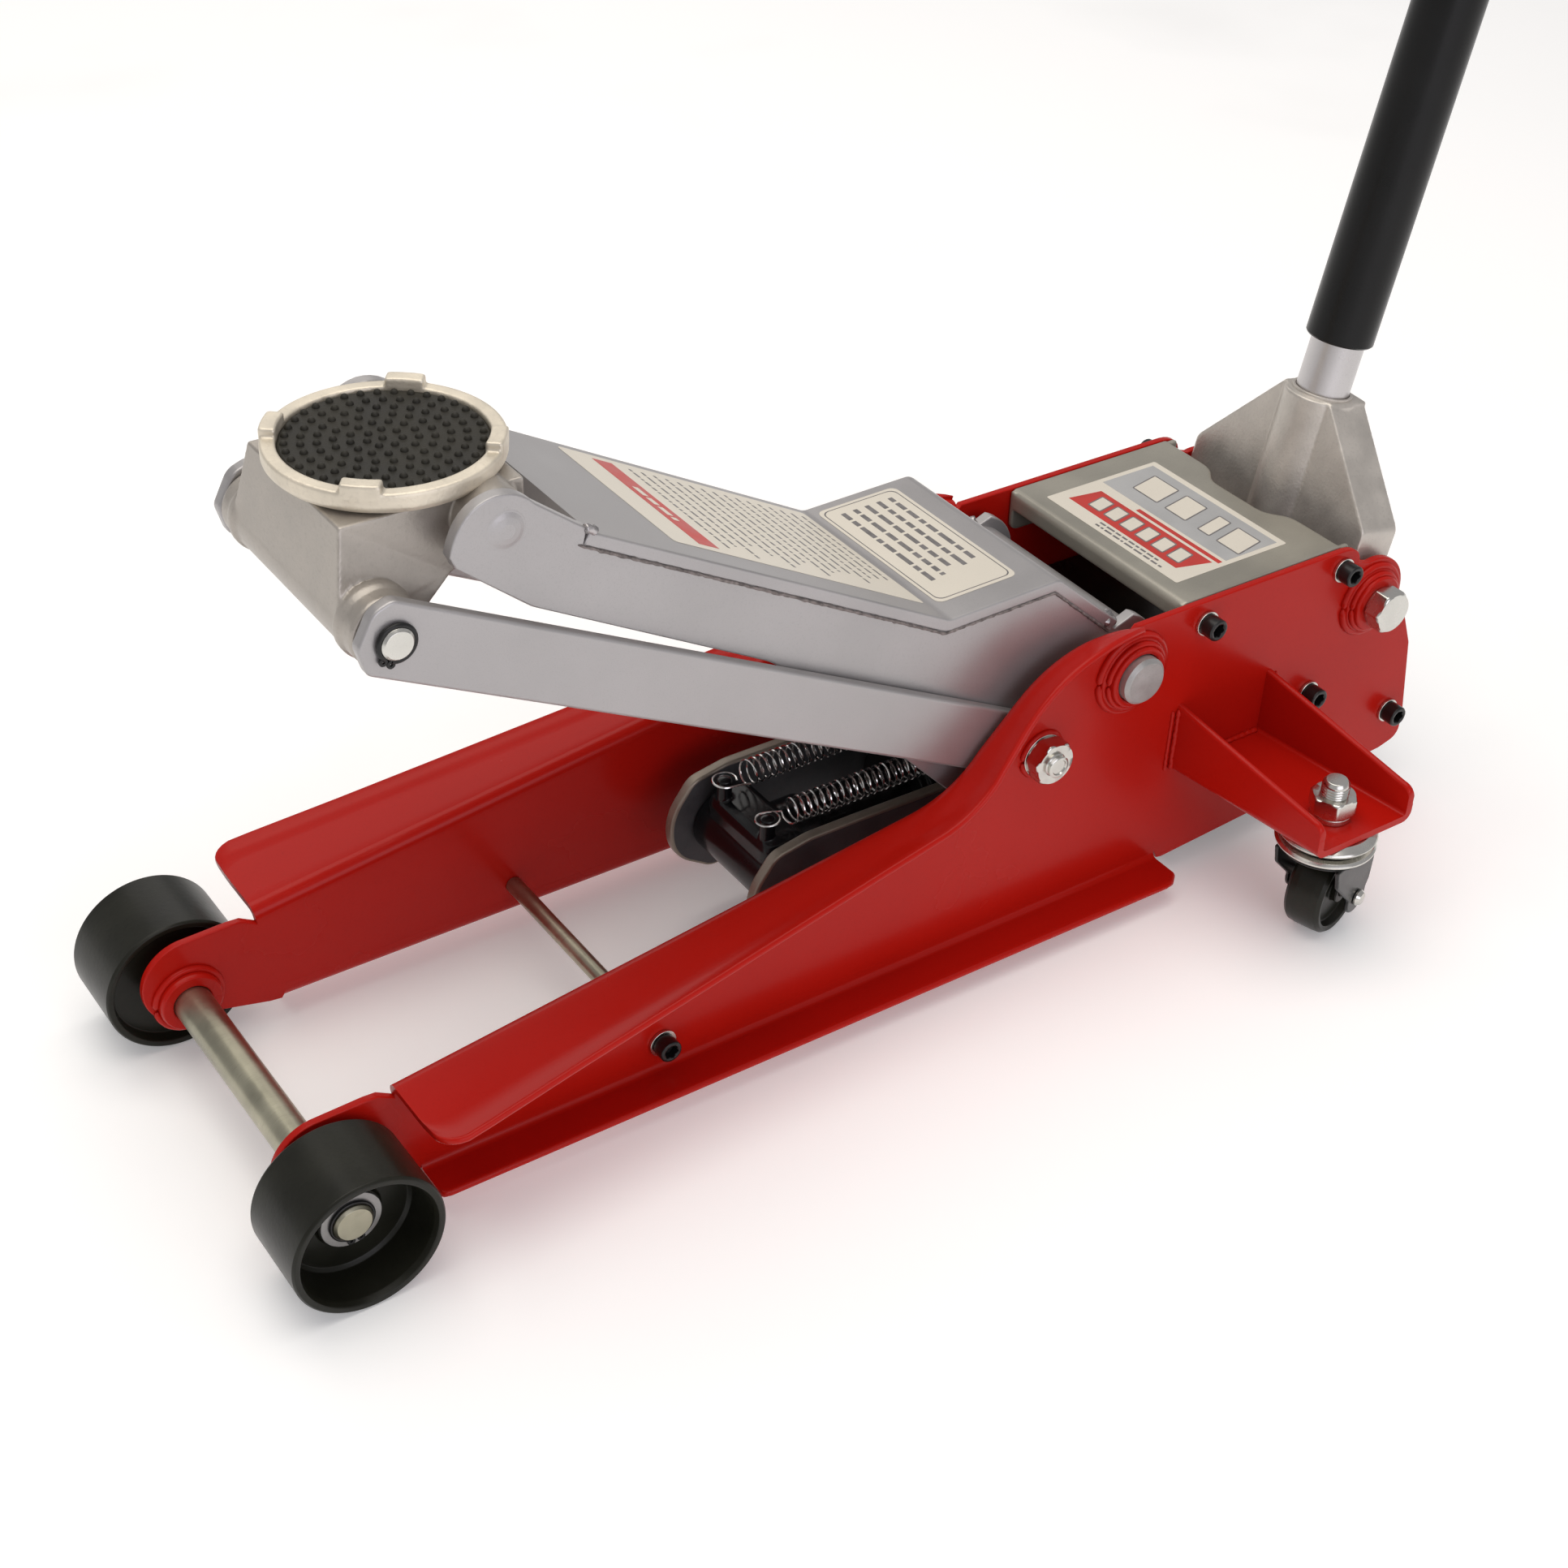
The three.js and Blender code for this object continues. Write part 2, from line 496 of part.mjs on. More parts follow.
function armSide() {
  const [linkX, linkZ] = fromArm(LINK.rearX, LINK.rearZ);
  const shape = new THREE.Shape();
  shape.moveTo(...fromArm(-107, 386));
  shape.lineTo(...fromArm(-104.5, 394));
  shape.quadraticCurveTo(...fromArm(-108, 424), ...fromArm(-130, 426));
  shape.quadraticCurveTo(...fromArm(-141, 425), ...fromArm(-149, 417));
  shape.lineTo(...fromArm(-180, 388));
  for (const [x, z] of ARM_TOP) shape.lineTo(x, z);
  shape.lineTo(...fromArm(-572, 212));
  shape.absarc(0, 0, 32, THREE.MathUtils.degToRad(105), THREE.MathUtils.degToRad(200), false);
  shape.lineTo(linkX - 20, linkZ + 8);
  shape.absarc(linkX, linkZ, 21.5, THREE.MathUtils.degToRad(160), THREE.MathUtils.degToRad(308), false);
  shape.closePath();
  hole(shape, 0, 0, ARM.shaft + GAP);
  const [headX, headZ] = fromArm(HEAD_PIVOT.x, HEAD_PIVOT.y);
  hole(shape, headX, headZ, ARM.headPin + GAP);
  hole(shape, linkX, linkZ, LINK.rearPin + GAP);
  return shape;
}

// The top plate follows the upper edge of the side plates; its underside is offset by the plate thickness.
function armTopPlate() {
  const lower = ARM_TOP.map(([x, z], i) => {
    const before = ARM_TOP[Math.max(i - 1, 0)];
    const after = ARM_TOP[Math.min(i + 1, ARM_TOP.length - 1)];
    const direction = new THREE.Vector2(after[0] - before[0], after[1] - before[1]).normalize();
    return [x - direction.y * ARM.topPlate, z + direction.x * ARM.topPlate];
  });
  return plateY(outline([...ARM_TOP, ...lower.reverse()]), -ARM.outer, ARM.outer);
}

const armSides = [-1, 1].map((side) => plateY(armSide(), side * ARM.inner, side * ARM.outer));
const pivotTube = boss(new THREE.Vector2(0, 0), 25, ARM.shaft + GAP, -ARM.inner - 1, ARM.inner + 1);
place('lift_arm', join(...armSides, armTopPlate(), pivotTube), SILVER, arm);

const [linkPinX, linkPinZ] = fromArm(LINK.rearX, LINK.rearZ);
placePair('link_pin', rodY(linkPinX, linkPinZ, LINK.rearPin, 39, ARM.outer, 16), STEEL, arm);
const [headPinX, headPinZ] = fromArm(HEAD_PIVOT.x, HEAD_PIVOT.y);
place('head_upper_pin', rodY(headPinX, headPinZ, ARM.headPin, -ARM.outer, ARM.outer), STEEL, arm);

// ---------------------------------------------------------------- saddle head, drawn from its upper pivot
const head = group(HEAD_PIVOT.x, HEAD_PIVOT.y);
const fromHead = (x, z) => [x - HEAD_PIVOT.x, z - HEAD_PIVOT.y];

function saddleHead() {
  const [pinX, pinZ] = fromHead(HEAD_PIN.x, HEAD_PIN.y);
  const top = HEAD.top - HEAD_PIVOT.y;
  const body = new THREE.Shape();
  body.moveTo(...fromHead(HEAD.rear, HEAD.top - 14));
  body.lineTo(...fromHead(-150, 386));
  body.lineTo(...fromHead(-118, 370));
  body.lineTo(...fromHead(-96, 354));
  body.lineTo(pinX - 8, pinZ - 19);
  body.lineTo(pinX + 10, pinZ - 14);
  body.lineTo(...fromHead(HEAD.front, 362));
  body.lineTo(...fromHead(HEAD.front, HEAD.top));
  body.lineTo(...fromHead(HEAD.rear, HEAD.top));
  const whole = join(
    plateY(body, -HEAD.halfWidth, HEAD.halfWidth),
    rodY(0, 0, 19, GAP - ARM.inner, ARM.inner - GAP),
    rodY(pinX, pinZ, 20, -ROD.inner + GAP, ROD.inner - GAP),
  );
  const aboveTop = box(-90, 110, -80, 80, top, top + 30);
  const upperBore = rodY(0, 0, ARM.headPin + GAP, -80, 80);
  const lowerBore = rodY(pinX, pinZ, ROD.pin + GAP, -80, 80);
  const swivelBore = rodZ(SADDLE.x - HEAD_PIVOT.x, 0, SADDLE.stem + GAP, -12, top + 5);
  return cut(whole, aboveTop, upperBore, lowerBore, swivelBore);
}
place('saddle_head', saddleHead(), CAST, head);

const saddle = new THREE.Group();
saddle.position.set(SADDLE.x - HEAD_PIVOT.x, 0, -HEAD_PIVOT.y);
head.add(saddle);

function saddleCup() {
  const s = SADDLE;
  const stem = [[0, 391], [s.stem, 391], [s.stem, s.bottom]];
  const rim = [[s.radius - 4, s.bottom], [s.radius, s.bottom + 4], [s.radius, s.top], [s.recess, s.top]];
  const ring = turnedZ([...stem, ...rim, [s.recess, s.floor], [0, s.floor]], 32);
  const lugs = [0, 1, 2, 3].map((quarter) => {
    const lug = box(s.recess, s.radius, -10, 10, s.top - 1, s.top + s.lug);
    return lug.rotateZ((quarter * Math.PI) / 2 + THREE.MathUtils.degToRad(s.turn));
  });
  return join(ring, ...lugs);
}
place('saddle_cup', saddleCup(), CAST, saddle);
place('saddle_pad', rodZ(0, 0, SADDLE.recess - GAP, SADDLE.floor + GAP, SADDLE.top - 1, 32), RUBBER, saddle);

// ---------------------------------------------------------------- levelling rods, from their rear pivot
const rods = group(ROD_PIVOT.x, ROD_PIVOT.y);

function rodOutline() {
  const reach = HEAD_PIN.clone().sub(ROD_PIVOT);
  const half = ROD.width / 2;
  const along = reach.length();
  const shape = new THREE.Shape();
  shape.absarc(0, 0, half, Math.PI / 2, 3 * Math.PI / 2, false);
  shape.lineTo(along + 8, -half);
  shape.lineTo(along + 18, -half + 11);
  shape.lineTo(along + 18, half - 5);
  shape.lineTo(along + 15, half);
  shape.closePath();
  hole(shape, 0, 0, ROD.pin + GAP);
  hole(shape, along, 0, ROD.pin + GAP);
  return { shape, angle: reach.angle() };
}

const { shape: rodShape, angle: rodAngle } = rodOutline();
const radiusRod = plateY(rodShape, ROD.inner, ROD.outer, 8).rotateY(-rodAngle);
placePair('radius_rod', radiusRod, SILVER, rods);
const headPinOffset = HEAD_PIN.clone().sub(ROD_PIVOT);
const headLowerPin = chamferedPin(ROD.pin, 89).translate(headPinOffset.x, 0, headPinOffset.y);
place('head_lower_pin', headLowerPin, ZINC, rods);

// ---------------------------------------------------------------- ram, cross block and link plates
place('ram_rod', rodX(0, RAM.z, RAM.radius, -590, -385 - GAP), BLACK_STEEL);

function crossBlock() {
  const barrel = rodY(RAM.crossX, RAM.z, 23, GAP - LINK.inner, LINK.inner - GAP);
  const pin = rodY(RAM.crossX, RAM.z, LINK.frontPin, -LINK.outer - 2, LINK.outer + 2);
  const socket = rodX(0, RAM.z, 26, -385, RAM.crossX);
  const bar = box(RAM.crossX - 14, RAM.crossX + 18, -34, 34, RAM.z, 100);
  const posts = [-1, 1].map((side) => rodZ(RAM.crossX + 11, side * SPRING.y, 4, 99, SPRING.z + 7, 12));
  return join(barrel, pin, socket, bar, ...posts);
}
place('cross_block', crossBlock(), BLACK_STEEL);

function linkPlate() {
  const shape = new THREE.Shape();
  const x = RAM.crossX;
  const z = RAM.z;
  shape.moveTo(x - 40, z + 40);
  shape.absarc(LINK.rearX, LINK.rearZ, 30, Math.PI / 2, 3 * Math.PI / 2, false);
  shape.lineTo(x - 22, z - 36);
  shape.lineTo(x + 12, z - 37);
  shape.quadraticCurveTo(x + 38, z - 24, x + 39, z + 4);
  shape.quadraticCurveTo(x + 40, z + 30, x + 18, z + 39);
  shape.closePath();
  hole(shape, x, z, LINK.frontPin + GAP);
  hole(shape, LINK.rearX, LINK.rearZ, LINK.rearHole);
  return plateY(shape, LINK.inner, LINK.outer);
}
placePair('link_plate', linkPlate(), SILVER);
placePair('return_spring', rodX(SPRING.y, SPRING.z, SPRING.radius, SPRING.rear, SPRING.front, 12), ZINC);

// ---------------------------------------------------------------- handle, drawn upright from its pivot
const handle = group(HANDLE_PIVOT.x, HANDLE_PIVOT.y);
handle.rotation.y = -THREE.MathUtils.degToRad(HANDLE.lean);

// Casting that turns on the two handle bolts; its roller pushes the pump pistons.
function handleSocket() {
  const s = SOCKET;
  const half = s.halfWidth;
  const face = outline([[-s.topHalf, s.topZ - 4], [-half, s.shoulderZ], [-half, -14], [-60, -22], [60, -22],
    [half, -14], [half, s.shoulderZ], [s.topHalf, s.topZ - 4]]);
  const side = outline([[14, s.topZ], [-13, s.topZ], [-20, s.shoulderZ], [-20, -24], [17, -24],
    [17, s.shoulderZ]]);
  const gusset = solid(plateY(side, -90, 90)).intersect(solid(plateX(face, -40, 40)));
  const barrel = rodZ(0, 0, 25, -20, s.topZ, 24);
  const hubs = rodY(0, 0, 24, -half, half);
  const roller = rodY(ROLLER.x, ROLLER.z, ROLLER.radius, -ROLLER.half, ROLLER.half, 16);
  const cheeks = [-1, 1].map((sign) => (
    box(-31, -17, sign * ROLLER.cheek - 4, sign * ROLLER.cheek + 4, -38, -8)
  ));
  const bore = rodZ(0, 0, HANDLE.tube + GAP, s.boreBottom, s.topZ + 5);
  const boltRoom = [-1, 1].map((sign) => rodY(0, 0, 8 + GAP, sign * 60, sign * 90, 16));
  return cut(gusset.add(join(barrel, hubs, roller, ...cheeks)), bore, ...boltRoom);
}
place('handle_socket', handleSocket(), CAST, handle);
const tubeStart = SOCKET.boreBottom + GAP;
const tube = turnedZ([[HANDLE.tubeBore, tubeStart], [HANDLE.tube, tubeStart], [HANDLE.tube, HANDLE.tubeEnd],
  [HANDLE.tubeBore, HANDLE.tubeEnd], [HANDLE.tubeBore, tubeStart]]);
place('handle_tube', tube, SILVER, handle);

// A sleeve and a closed end grip that fit over the handle tube.
const overTube = HANDLE.tube + GAP;
const sleeve = turnedZ([[overTube, HANDLE.sleeveStart], [HANDLE.sleeve, HANDLE.sleeveStart],
  [HANDLE.sleeve, HANDLE.sleeveEnd], [overTube, HANDLE.sleeveEnd], [overTube, HANDLE.sleeveStart]]);
place('handle_sleeve', sleeve, RUBBER, handle);
const grip = turnedZ([[overTube, HANDLE.grip], [21, HANDLE.grip], [21, HANDLE.end - 4], [17, HANDLE.end],
  [0, HANDLE.end], [0, HANDLE.tubeEnd + GAP], [overTube, HANDLE.tubeEnd + GAP], [overTube, HANDLE.grip]]);
place('handle_grip', grip, RUBBER, handle);

export default jack;
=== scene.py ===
"""Hydraulic trolley jack: fine surfaces, materials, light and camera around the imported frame."""
import json
import math
import random

import bpy
from mathutils import Matrix, Vector
from mathutils.geometry import tessellate_polygon
import bmesh


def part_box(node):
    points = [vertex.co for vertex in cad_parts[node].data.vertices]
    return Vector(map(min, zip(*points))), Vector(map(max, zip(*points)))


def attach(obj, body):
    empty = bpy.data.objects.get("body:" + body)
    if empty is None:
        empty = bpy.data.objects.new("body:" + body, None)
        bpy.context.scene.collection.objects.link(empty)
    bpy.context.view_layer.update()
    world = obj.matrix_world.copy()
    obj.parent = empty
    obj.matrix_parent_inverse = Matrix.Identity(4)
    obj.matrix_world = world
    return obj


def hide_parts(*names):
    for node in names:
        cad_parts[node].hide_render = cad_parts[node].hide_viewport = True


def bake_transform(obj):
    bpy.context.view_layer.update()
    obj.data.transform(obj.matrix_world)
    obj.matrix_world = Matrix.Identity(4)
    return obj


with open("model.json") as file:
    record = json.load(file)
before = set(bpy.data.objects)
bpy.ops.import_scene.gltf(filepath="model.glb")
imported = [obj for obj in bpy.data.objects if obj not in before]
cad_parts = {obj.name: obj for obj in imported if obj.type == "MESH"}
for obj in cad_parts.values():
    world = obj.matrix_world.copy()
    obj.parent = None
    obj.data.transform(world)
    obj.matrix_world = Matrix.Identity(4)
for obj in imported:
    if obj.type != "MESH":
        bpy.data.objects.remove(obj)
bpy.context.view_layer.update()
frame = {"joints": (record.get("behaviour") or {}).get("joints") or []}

MM = 0.001
PIVOTS = {joint["name"]: joint for joint in frame["joints"]}
AXLE_X = sum(corner[0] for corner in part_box("front_axle")) / 2

# The script's own units are millimetres from the front axle: x forward, y left, z up from the floor.


def pivot(joint):
    """A joint's point, as (x, y, z) in millimetres from the front axle."""
    x, y, z = PIVOTS[joint]["pos_m"]
    return Vector(((x - AXLE_X) / MM, y / MM, z / MM))


# ---------------------------------------------------------------- driving dimensions
ARM_PIVOT = pivot("arm_lift")
ROD_PIVOT = pivot("rods_swing")
HEAD_PIVOT = pivot("head_level")
HEAD_PIN = HEAD_PIVOT + ROD_PIVOT - ARM_PIVOT
HANDLE_PIVOT = pivot("handle_pump")
SADDLE_X = pivot("saddle_swivel").x
RAM_CROSS = pivot("links_swing")
AXLE = Vector((0, 0, pivot("front_wheel_left_spin").z))
WEB_INNER, WEB_OUTER = 86.0, 91.0
WEB_TOP, WEB_SLOPE, REAR_TOP, WEB_BOTTOM = 84.6, 0.1345, 214.5, 15.0
NOSE_X, REAR_X = -46.0, -612.0
ARM_INNER, ARM_OUTER, ARM_PLATE = 67.0, 75.0, 8.0
SLOPE_TOP, SLOPE_FOOT = Vector((-184.0, 385.8)), Vector((-425.3, 255.4))
HUMP_REAR, ARM_REAR = Vector((-507.7, 257.2)), Vector((-560.0, 211.5))
LINK_REAR = Vector((-515.0, 78.0))
SPRING_Y, SPRING_Z = 24.0, 113.0
CASTER_X, CASTER_Y = pivot("caster_left_swivel").x, pivot("caster_left_swivel").y
CASTER_AXLE = pivot("caster_wheel_left_spin")
SCREWS = {"cover_screw_front": (-621.5, 198.5), "cover_screw_rear": (-741.0, 200.5),
          "unit_screw_front": (-729.0, 109.0), "unit_screw_rear": (-815.5, 64.5)}
TIE_ROD = (-219.0, 39.0)
SCREW_SEAT, WASHER_FACES = 93.4, (91.1, 93.3)
PUMP_Y, PUMP_Z = 30, 130
SIDES = (("left", 1), ("right", -1))


# ---------------------------------------------------------------- outlines
def arc(centre, radius, start, end, steps=10):
    """Points on an arc, angles in degrees."""
    points = []
    for k in range(steps + 1):
        a = math.radians(start + (end - start) * k / steps)
        points.append(Vector((centre[0] + radius * math.cos(a), centre[1] + radius * math.sin(a))))
    return points


def hole(centre, radius):
    """The outline of a round hole."""
    return arc(centre, radius, 0, 345, 23)


def curve(start, control, end, steps):
    """Points on a quadratic curve, without its start."""
    a, b, c = Vector(start), Vector(control), Vector(end)
    ts = [k / steps for k in range(1, steps + 1)]
    return [a * (1 - t) ** 2 + b * 2 * t * (1 - t) + c * t * t for t in ts]


def fillet(points, radius, steps, closed=True):
    """Rounds the corners of an outline; a point may bring its own radius as its third number."""
    count, out = len(points), []
    for i, point in enumerate(points):
        here = Vector(point[:2])
        wanted = point[2] if len(point) > 2 else radius
        if wanted <= 0 or (not closed and i in (0, count - 1)):
            out.append(here)
            continue
        a = Vector(points[i - 1][:2]) - here
        b = Vector(points[(i + 1) % count][:2]) - here
        angle = a.angle(b)
        if angle > math.pi - 0.05:
            out.append(here)
            continue
        reach = min(wanted / math.tan(angle / 2), a.length * 0.48, b.length * 0.48)
        r = reach * math.tan(angle / 2)
        centre = here + (a.normalized() + b.normalized()).normalized() * (r / math.sin(angle / 2))
        first = here + a.normalized() * reach - centre
        last = here + b.normalized() * reach - centre
        turn = math.atan2(first.x * last.y - first.y * last.x, first.dot(last))
        for k in range(steps + 1):
            t = turn * k / steps
            c, s = math.cos(t), math.sin(t)
            out.append(centre + Vector((first.x * c - first.y * s, first.x * s + first.y * c)))
    return out


def tangents(path):
    """The unit direction of a path at each of its points."""
    ends = [path[0], *path, path[-1]]
    return [(after - before).normalized() for before, after in zip(ends, ends[2:])]


def area(loop):
    """The signed area of an outline, above zero where it runs anticlockwise."""
    return sum(p.x * q.y - q.x * p.y for p, q in zip(loop, loop[1:] + loop[:1])) / 2


def inset(loop, distance):
    """The outline moved inward by a distance."""
    if not distance:
        return list(loop)
    turn = 1 if area(loop) > 0 else -1
    out = []
    for before, here, after in zip(loop[-1:] + loop[:-1], loop, loop[1:] + loop[:1]):
        e, f = (here - before).normalized(), (after - here).normalized()
        n, m = Vector((-e.y, e.x)) * turn, Vector((-f.y, f.x)) * turn
        middle = n + m
        scale = 2 / max(middle.length_squared, 1.0)
        out.append(here + middle * (distance * scale))
    return out


# ---------------------------------------------------------------- solids: (points, faces)
PLANES = {"Y": lambda u, v, w: Vector((u, w, v)), "Z": lambda u, v, w: Vector((u, v, w)),
          "X": lambda u, v, w: Vector((w, u, v))}


def merge(*parts):
    """Several solids as one."""
    points, faces = [], []
    for part_points, part_faces in parts:
        base = len(points)
        points += part_points
        faces += [tuple(base + i for i in face) for face in part_faces]
    return points, faces


def mirrored(part):
    """A solid's mirror image on the other side of the jack."""
    return [Vector((p.x, -p.y, p.z)) for p in part[0]], [face[::-1] for face in part[1]]


def moved(part, matrix):
    """A solid put in place by a matrix."""
    return [matrix @ p for p in part[0]], part[1]


def slab(outline, low, high, edge, holes=(), plane="Y", steps=2):
    """A plate with rounded edges; its outline lies in the plane and its thickness is from low to high."""
    loops = [list(outline)] + [list(hole) for hole in holes]
    levels = []
    for k in range(steps + 1):
        a = math.pi / 2 * k / steps
        levels.append((low + edge * (1 - math.cos(a)), edge * (1 - math.sin(a))))
    levels += [(low + high - w, d) for w, d in reversed(levels)]
    place = PLANES[plane]
    points, faces, count = [], [], sum(map(len, loops))
    for w, d in levels:
        for number, loop in enumerate(loops):
            points += [place(p.x, p.y, w) for p in inset(loop, d if number == 0 else -d)]
    for level in range(len(levels) - 1):
        start = level * count
        for loop in loops:
            n = len(loop)
            for i in range(n):
                j = (i + 1) % n
                faces.append((start + i, start + j, start + count + j, start + count + i))
            start += n
    for base in (0, (len(levels) - 1) * count):
        rings, start = [], base
        for loop in loops:
            rings.append(points[start:start + len(loop)])
            start += len(loop)
        faces += [tuple(base + i for i in triangle) for triangle in tessellate_polygon(rings)]
    return points, faces


AXES = {"Y": ((1, 0, 0), (0, 0, 1), (0, 1, 0)), "Z": ((1, 0, 0), (0, 1, 0), (0, 0, 1)),
        "X": ((0, 1, 0), (0, 0, 1), (1, 0, 0))}


def revolve(profile, centre, axis="Y", sides=72, closed=False):
    """Turns a profile of (radius, height) about an axis; a radius may be a function of the angle."""
    e1, e2, e3 = (Vector(e) for e in AXES[axis])
    centre = Vector(centre)
    rings, points, faces = [], [], []
    for radius, height in profile:
        if not callable(radius) and radius <= 0:
            rings.append([len(points)])
            points.append(centre + e3 * height)
            continue
        rings.append(list(range(len(points), len(points) + sides)))
        for k in range(sides):
            a = 2 * math.pi * k / sides
            r = radius(a) if callable(radius) else radius
            points.append(centre + e1 * (r * math.cos(a)) + e2 * (r * math.sin(a)) + e3 * height)
    for low, high in zip(rings, rings[1:] + rings[:1] if closed else rings[1:]):
        for k in range(sides):
            j = (k + 1) % sides
            if len(low) == 1 and len(high) == 1:
                continue
            if len(low) == 1:
                faces.append((low[0], high[k], high[j]))
            elif len(high) == 1:
                faces.append((low[k], low[j], high[0]))
            else:
                faces.append((low[k], low[j], high[j], high[k]))
    if not closed:
        for ring in (rings[0], rings[-1]):
            if len(ring) > 1:
                faces.append(tuple(ring))
    return points, faces


def rod(radius, low, high):
    """The profile of a round bar."""
    return [(0, low), (radius, low), (radius, high), (0, high)]


def pin(radius, half, chamfer):
    """The profile of a bar that is the same on both sides, with chamfered ends."""
    return [(0, -half), (radius - chamfer, -half), (radius, chamfer - half), (radius, half - chamfer),
            (radius - chamfer, half), (0, half)]


def pipe(inner, outer, low, high):
    """The profile of a ring, to be closed."""
    return [(inner, low), (outer, low), (outer, high), (inner, high)]


def turned(profile, centre=(0, 0, 0), axis="Y", sides=72, edge=0.8, closed=False):
    """A turned solid whose profile corners are rounded."""
    soft = [(max(p.x, 0.0), p.y) for p in fillet(profile, edge, 3, closed)]
    return revolve(soft, centre, axis, sides, closed)


def loft(loops):
    """A skin over closed loops of the same length, with both ends closed."""
    count, points, faces = len(loops[0]), [], []
    for loop in loops:
        points += loop
    for level in range(len(loops) - 1):
        for i in range(count):
            j, base = (i + 1) % count, level * count
            faces.append((base + i, base + j, base + count + j, base + count + i))
    for base, loop in ((0, loops[0]), ((len(loops) - 1) * count, loops[-1])):
        faces += [tuple(base + i for i in triangle) for triangle in tessellate_polygon([loop])]
    return points, faces


def tube(path, radius, sides=10):
    """A round bar along a path; radius may be a list, one number for each point."""
    loops, normal = [], None
    for i, (here, tangent) in enumerate(zip(path, tangents(path))):
        if normal is None:
            normal = tangent.orthogonal().normalized()
        normal = (normal - tangent * normal.dot(tangent)).normalized()
        other = tangent.cross(normal)
        r = radius[i] if isinstance(radius, list) else radius
        angles = [2 * math.pi * k / sides for k in range(sides)]
        loops.append([here + normal * (r * math.cos(a)) + other * (r * math.sin(a)) for a in angles])
    return loft(loops)


def resampled(path, step):
    """Points at even steps along a path of points."""
    out, left = [path[0]], step
    for a, b in zip(path, path[1:]):
        length, done = (b - a).length, 0.0
        while length - done >= left:
            done += left
            out.append(a.lerp(b, done / length))
            left = step
        left -= length - done
    return out


def bead(path, radius, seed, step=1.6, rough=0.25, ripple=0.12):
    """An uneven weld bead along a path."""
    rng = random.Random(seed)
    points = resampled(path, step)
    radii, pushed = [], []
    for i, point in enumerate(points):
        wave = ripple * math.sin(i * 1.9)
        radii.append(radius * (1 + wave + rough * (rng.random() - 0.5)))
        jitter = Vector((rng.random() - 0.5, rng.random() - 0.5, rng.random() - 0.5))
        pushed.append(point + jitter * (radius * rough))
    radii[0] = radii[-1] = radius * 0.35
    return tube(pushed, radii, 8)


def block(x0, x1, y0, y1, z0, z1, edge, corner):
    """A box with rounded edges, drawn in plan."""
    plan = fillet([(x0, y0), (x1, y0), (x1, y1), (x0, y1)], corner, 4)
    return slab(plan, z0, z1, edge, plane="Z")


# ---------------------------------------------------------------- Blender pieces
SHARP = math.radians(50)


def piece(name, part, material, body, slot, replaces=(), voxel=None):
    """Makes one visible piece from a solid in millimetres and lets it ride on a body."""
    points, faces = part
    mesh = bpy.data.meshes.new(name)
    place = [(AXLE_X + p.x * MM, p.y * MM, p.z * MM) for p in points]
    mesh.from_pydata(place, [], [face for face in faces if len(set(face)) > 2])
    work = bmesh.new()
    work.from_mesh(mesh)
    bmesh.ops.remove_doubles(work, verts=work.verts, dist=1e-6)
    bmesh.ops.dissolve_degenerate(work, edges=work.edges, dist=1e-7)
    bmesh.ops.recalc_face_normals(work, faces=work.faces)
    work.to_mesh(mesh)
    work.free()
    made = bpy.data.objects.new(name, mesh)
    bpy.context.collection.objects.link(made)
    if voxel:
        melt(made, voxel)
    made.data.materials.clear()
    made.data.materials.append(material)
    made.data.shade_smooth()
    made.data.set_sharp_from_angle(angle=SHARP)
    if body and not voxel:
        normals = made.modifiers.new("flat_faces", "WEIGHTED_NORMAL")
        normals.keep_sharp = True
    if replaces:
        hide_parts(*replaces)
    if body:
        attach(made, body)
    return made


def melt(made, voxel):
    """Melts a piece's solids into one skin with soft joins, as in a casting."""
    remesh = made.modifiers.new("skin", "REMESH")
    remesh.mode = "VOXEL"
    remesh.voxel_size = voxel * MM
    smooth = made.modifiers.new("soft", "SMOOTH")
    smooth.factor = 0.5
    smooth.iterations = 2
    graph = bpy.context.evaluated_depsgraph_get()
    mesh = bpy.data.meshes.new_from_object(made.evaluated_get(graph))
    made.modifiers.clear()
    made.data = mesh


def pair(name, part, material, slot, replaces=(), body="chassis", **more):
    """Places a piece drawn for the left side, and its mirror image."""
    for side, sign in SIDES:
        nodes = [f"{node}_{side}" for node in replaces]
        at = body.format(side=side)
        piece(f"{name}_{side}", part if sign > 0 else mirrored(part), material, at, slot, nodes, **more)


